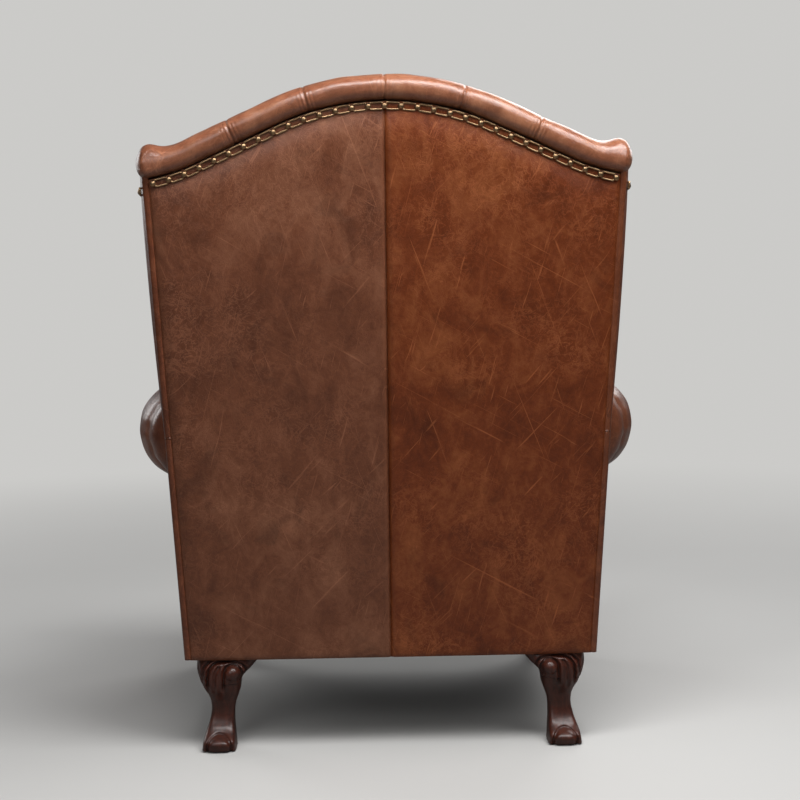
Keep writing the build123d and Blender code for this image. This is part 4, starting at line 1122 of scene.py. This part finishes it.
def nail_grid(centre, across, out):
    """A domed nail head over the joint of two links."""
    return dome(centre + NAIL_LIFT * out, out, across, NAIL_RADIUS, NAIL_HEIGHT, 8, 22, 0.25)


def trim(name, maker, places):
    """One mesh of links or nail heads. A place is a centre and the ways along the trim and out."""
    grids = [maker(*place) for place in places]
    caps = [grid[0][-1] for grid in grids] if maker is nail_grid else []
    return build(name, grids, "antique_brass", weld=1e-7, caps=caps)


def rear_places(distances):
    places = []
    at, way, _ = along(crest_line(0), distances=distances)
    for (x, s), (across_x, across_s) in zip(at, way):
        for sign in (1, -1) if x > 1e-6 else (1,):
            across = unit(vec(sign * across_x, 0, 0) + across_s * UP_BACK)
            places.append((on_back(sign * x, s, -TRIM_OUT), across, REARWARD))
    return places


def side_places(first):
    places = []
    path, outer = wing_outline(-SIDE_TRIM_INSET), wing_outline(WING_EDGE)
    count = int((run_length(path)[-1] - 0.02) / NAIL_PITCH)
    at, way, _ = along(path, distances=first + NAIL_PITCH * np.arange(count))
    for (a, h), (way_a, way_h) in zip(at, way):
        if h < ABOVE_ARM:
            continue
        reach = max(np.interp(h, outer[::-1, 1], outer[::-1, 0]), 0.18)
        u, v = (a - TURN_END) / (reach - TURN_END), (h - ROLL_Z) / (outer[0, 1] - ROLL_Z)
        depth = -SIDE_TRIM_OUT - wing_belly(u, v)
        start, end = on_side(vec(a, a + 0.01 * way_a), vec(h, h + 0.01 * way_h), depth)
        places.append((start, unit(end - start), -INWARD))
    return places


links, heads = NAIL_PITCH * (np.arange(15) + 0.5), NAIL_PITCH * np.arange(16)
dress(trim("rear_chain", link_grid, rear_places(links)), BRASS, "back_trim_strip")
dress(trim("rear_nail_heads", nail_grid, rear_places(heads)), BRASS, "back_trim_nails")
for name, maker, first, node in (
    ("side_chain", link_grid, NAIL_PITCH / 2, "side_trim_strips"),
    ("side_nail_heads", nail_grid, NAIL_PITCH, "side_trim_nails"),
):
    piece = trim(name + "_left", maker, side_places(first))
    for obj in (piece, mirror_x(piece, name + "_right")):
        dress(obj, BRASS, node)

# Seat cushion
CUSHION_FOOT, CUSHION_EDGE, CUSHION_CROWN = 0.3323, 0.4503, 0.034
CUSHION_FRONT_X, CUSHION_FRONT_Y, CUSHION_REAR_X, CUSHION_REAR_Y = 0.272, -0.378, 0.244, 0.147
DRAWN_IN, WELT_RADIUS, WELT_OUT = 0.006, 0.0038, 0.0030


def cushion_ring(inset, n):
    """Outline of the cushion from above, its sides drawn in between round corners."""
    front, rear = vec(CUSHION_FRONT_X, CUSHION_FRONT_Y), vec(CUSHION_REAR_X, CUSHION_REAR_Y)
    corners = [front * vec(-1, 1), front, rear, rear * vec(-1, 1)]
    t = np.linspace(0, 1, 40)[:-1, None]
    sides = []
    for a, b in zip(corners, corners[1:] + corners[:1]):
        inward = unit(vec(a[1] - b[1], b[0] - a[0]))
        sides.append(a + (b - a) * t + inward * DRAWN_IN * np.sin(np.pi * t) ** 1.3)
    ring = even_ring(np.roll(np.concatenate(sides), -20, 0), n)
    for _ in range(26):
        ring = 0.5 * ring + 0.25 * (np.roll(ring, 1, 0) + np.roll(ring, -1, 0))
    ring = even_ring(ring, n)
    return ring + to_left(ring_ways(ring)) * inset


def raised(flat, z):
    """Flat points, as x and y, set at a height."""
    return np.concatenate([flat, np.broadcast_to(z, flat.shape[:-1])[..., None]], -1)


def cushion():
    n, rings, walls = 232, 44, 14
    ring = cushion_ring(0.0, n)
    heart = np.stack([np.zeros(n), np.clip(ring[:, 1], -0.1795, -0.0505)], 1)
    share = np.linspace(0, 1, rings)[:, None]
    flat = ring + share[..., None] * (heart - ring)
    top = raised(flat, CUSHION_EDGE + CUSHION_CROWN * np.sin(share * np.pi / 2) ** 0.85)
    base = raised(flat, CUSHION_FOOT)
    heights = np.linspace(CUSHION_FOOT, CUSHION_EDGE, walls)[:, None]
    wall = raised(np.broadcast_to(ring, (walls, n, 2)), heights)
    grids = [(grid, False, True) for grid in (top, wall, base)]
    return build("cushion", grids, body="cushion", caps=[top[-1], base[-1]])


def corners_of(mesh):
    return np.array([v.co for v in mesh.vertices])


def move_to(mesh, points):
    for v, p in zip(mesh.vertices, points):
        v.co = p
    mesh.update()


def inflate(obj, held, frames, cap, **values):
    """Swell a closed mesh by a cloth simulation that holds some corners, then apply it."""
    group = obj.vertex_groups.new(name="seam")
    group.add(np.flatnonzero(held).tolist(), 1.0, "REPLACE")
    before = corners_of(obj.data)
    cloth_mod = obj.modifiers.new("cloth", "CLOTH")
    for key, value in values.items():
        setattr(cloth_mod.settings, key, value)
    cloth_mod.settings.effector_weights.gravity = 0
    cloth_mod.settings.vertex_group_mass = "seam"
    cloth_mod.collision_settings.use_collision = False
    cloth_mod.collision_settings.use_self_collision = False
    cloth_mod.point_cache.frame_start = 1
    cloth_mod.point_cache.frame_end = frames
    scene = bpy.context.scene
    for f in range(1, frames + 1):
        scene.frame_set(f)
    swollen = obj.evaluated_get(bpy.context.evaluated_depsgraph_get()).data
    move = corners_of(swollen) - before
    scene.frame_set(1)
    obj.modifiers.remove(cloth_mod)
    size = np.linalg.norm(move, axis=1)
    move_to(obj.data, before + move * np.minimum(1, cap / np.maximum(size, 1e-9))[:, None])


seat = cushion()
height = corners_of(seat.data)[:, 2]
seams = (np.abs(height - CUSHION_EDGE) < 0.0004) | (height < CUSHION_FOOT + 0.0004)
inflate(
    seat, seams, 20, 0.013, quality=6, mass=0.35, tension_stiffness=12, compression_stiffness=12,
    shear_stiffness=4, bending_stiffness=0.6, use_pressure=True, uniform_pressure_force=4.0,
    shrink_min=-0.03, shrink_max=-0.03,
)
co = corners_of(seat.data)
x, y, z = co.T
dent = 0.006 * bell(x, 0.16) * bell(y + 0.10, 0.15)
wave = 0.0015 * smooth_noise(co, 0.17, 13) + 0.0003 * smooth_noise(co, 0.06, 14)
z = np.maximum(z + clamp((z - CUSHION_EDGE) / 0.03) * (wave - dent), CUSHION_FOOT)
move_to(seat.data, np.stack([x, y, z], 1))
dress(seat, HIDE_PUFF, "seat_cushion_core", "seat_cushion_boxing", "seat_cushion_panels", fill=0.85)
smooth = seat.modifiers.new("round", "SUBSURF")
smooth.levels = smooth.render_levels = 1

welt_ring = cushion_ring(-WELT_OUT, 420)
welt_heights = (CUSHION_FOOT + WELT_RADIUS + 0.0004, CUSHION_EDGE)
pipes = [tube(raised(welt_ring, height), WELT_RADIUS) for height in welt_heights]
dress(build("cushion_welts", pipes, body="cushion"), HIDE, "seat_cushion_welts")

# Nodes that stay
KEEP = {
    "frame_wood": HARDWOOD, "steel": STEEL, "glide": GLIDE, "antique_brass": BRASS, "hessian": JUTE,
    "leg_wood": MAHOGANY, "leather": HIDE, "deck_cloth": DECK_CLOTH, "padding": FOAM,
}
slots = {s["node"]: s["material_slot"] for s in frame["record"]["subparts"]}
for name, obj in frame["nodes"].items():
    paint(obj, KEEP[slots[name]])
    if "nails" in name or slots[name] in ("steel", "glide"):
        obj.data.shade_smooth()

# Floor: it fades into the backdrop away from the chair, and throws less light back than it shows
BACKDROP = (0.60, 0.595, 0.58)
ground = Paint("studio_floor")
floor_color = ground.mix(ground.noise(1.2, 3), (0.56, 0.555, 0.54), (0.61, 0.605, 0.59))
seen = ground.node("ShaderNodeLightPath").outputs["Is Camera Ray"]
floor_color = ground.mix(seen, (0.26, 0.25, 0.24), floor_color)
floor_material = ground.finish(floor_color, 0.75, Specular_IOR_Level=0.2)
away = ground.node("ShaderNodeVectorMath", {0: ground.place}, operation="LENGTH").outputs["Value"]
far = ground.ramp(ground.math("DIVIDE", away, 6.0), [(0.22, 0.0), (0.62, 1.0)], "EASE")
glow = ground.node("ShaderNodeEmission", {"Color": BACKDROP, "Strength": 1.0})
fade = {0: ground.times(far, seen), 1: ground.shader.outputs[0], 2: glow.outputs[0]}
blend = ground.node("ShaderNodeMixShader", fade)
ground.tree.links.new(blend.outputs[0], ground.out.inputs[0])
mesh = bpy.data.meshes.new("studio_floor")
mesh.from_pydata([(-12, -12, 0), (12, -12, 0), (12, 12, 0), (-12, 12, 0)], [], [(0, 1, 2, 3)])
floor = add("studio_floor", mesh)
paint(floor, floor_material)

# Light: a dim room, brighter where the camera looks straight at it, and five lamps
world = bpy.data.worlds.new("studio")
bpy.context.scene.world = world
world.use_nodes = True
tree = world.node_tree
straight = tree.nodes.new("ShaderNodeLightPath")
room = tree.nodes.new("ShaderNodeMix")
room.data_type = "RGBA"
room.inputs[6].default_value = (0.090, 0.090, 0.093, 1)
room.inputs[7].default_value = (*BACKDROP, 1)
tree.links.new(straight.outputs["Is Camera Ray"], room.inputs[0])
tree.links.new(room.outputs[2], tree.nodes["Background"].inputs[0])
tree.nodes["Background"].inputs[1].default_value = 1.0


def stand(obj, place, *axes):
    """Stand a lamp or camera at a place with its own three axes."""
    rotation = Matrix([list(row) for row in np.stack(axes, 1)]).to_4x4()
    obj.matrix_world = Matrix.Translation(place) @ rotation


def lamp(name, place, target, size, power):
    data = bpy.data.lights.new(name, "AREA")
    data.shape = "RECTANGLE"
    data.size, data.size_y = size
    data.energy = power
    z_axis = unit(vec(*place) - vec(*target))
    x_axis = unit(np.cross(vec(0, 0, 1), z_axis))
    stand(add(name, data), place, x_axis, np.cross(z_axis, x_axis), z_axis)


lamp("key", (-0.95, 1.40, 2.05), (0, 0.3, 1.0), (0.9, 0.9), 17)
lamp("overhead", (-0.25, 0.85, 2.15), (0, 0.38, 1.08), (1.8, 0.5), 40)
lamp("sheen", (1.35, 3.3, 2.2), (0.1, 0.3, 0.9), (1.5, 1.3), 19)
lamp("front", (-1.6, -3.0, 2.2), (0, 0, 0.5), (2.2, 1.8), 46)
lamp("front_side", (2.6, -2.2, 1.6), (0, 0, 0.5), (1.6, 1.6), 24)

# Camera of the photograph
CAMERA_PLACE, FOCAL_LENGTH, SENSOR_WIDTH = (0.0438, 2.9246, 0.8249), 71.49, 36
lens = bpy.data.cameras.new("photo")
lens.sensor_width, lens.lens = SENSOR_WIDTH, FOCAL_LENGTH
camera = add("photo", lens)
bpy.context.scene.camera = camera
yaw, pitch, tilt = math.radians(-1.396), math.radians(-4.921), math.radians(-0.815)
look = vec(math.sin(yaw) * math.cos(pitch), -math.cos(yaw) * math.cos(pitch), math.sin(pitch))
right = vec(-math.cos(yaw), -math.sin(yaw), 0)
over = np.cross(right, look)
tilted_right = math.cos(tilt) * right + math.sin(tilt) * over
tilted_over = math.cos(tilt) * over - math.sin(tilt) * right
stand(camera, CAMERA_PLACE, tilted_right, tilted_over, -look)

bpy.context.scene.view_settings.view_transform = "Standard"
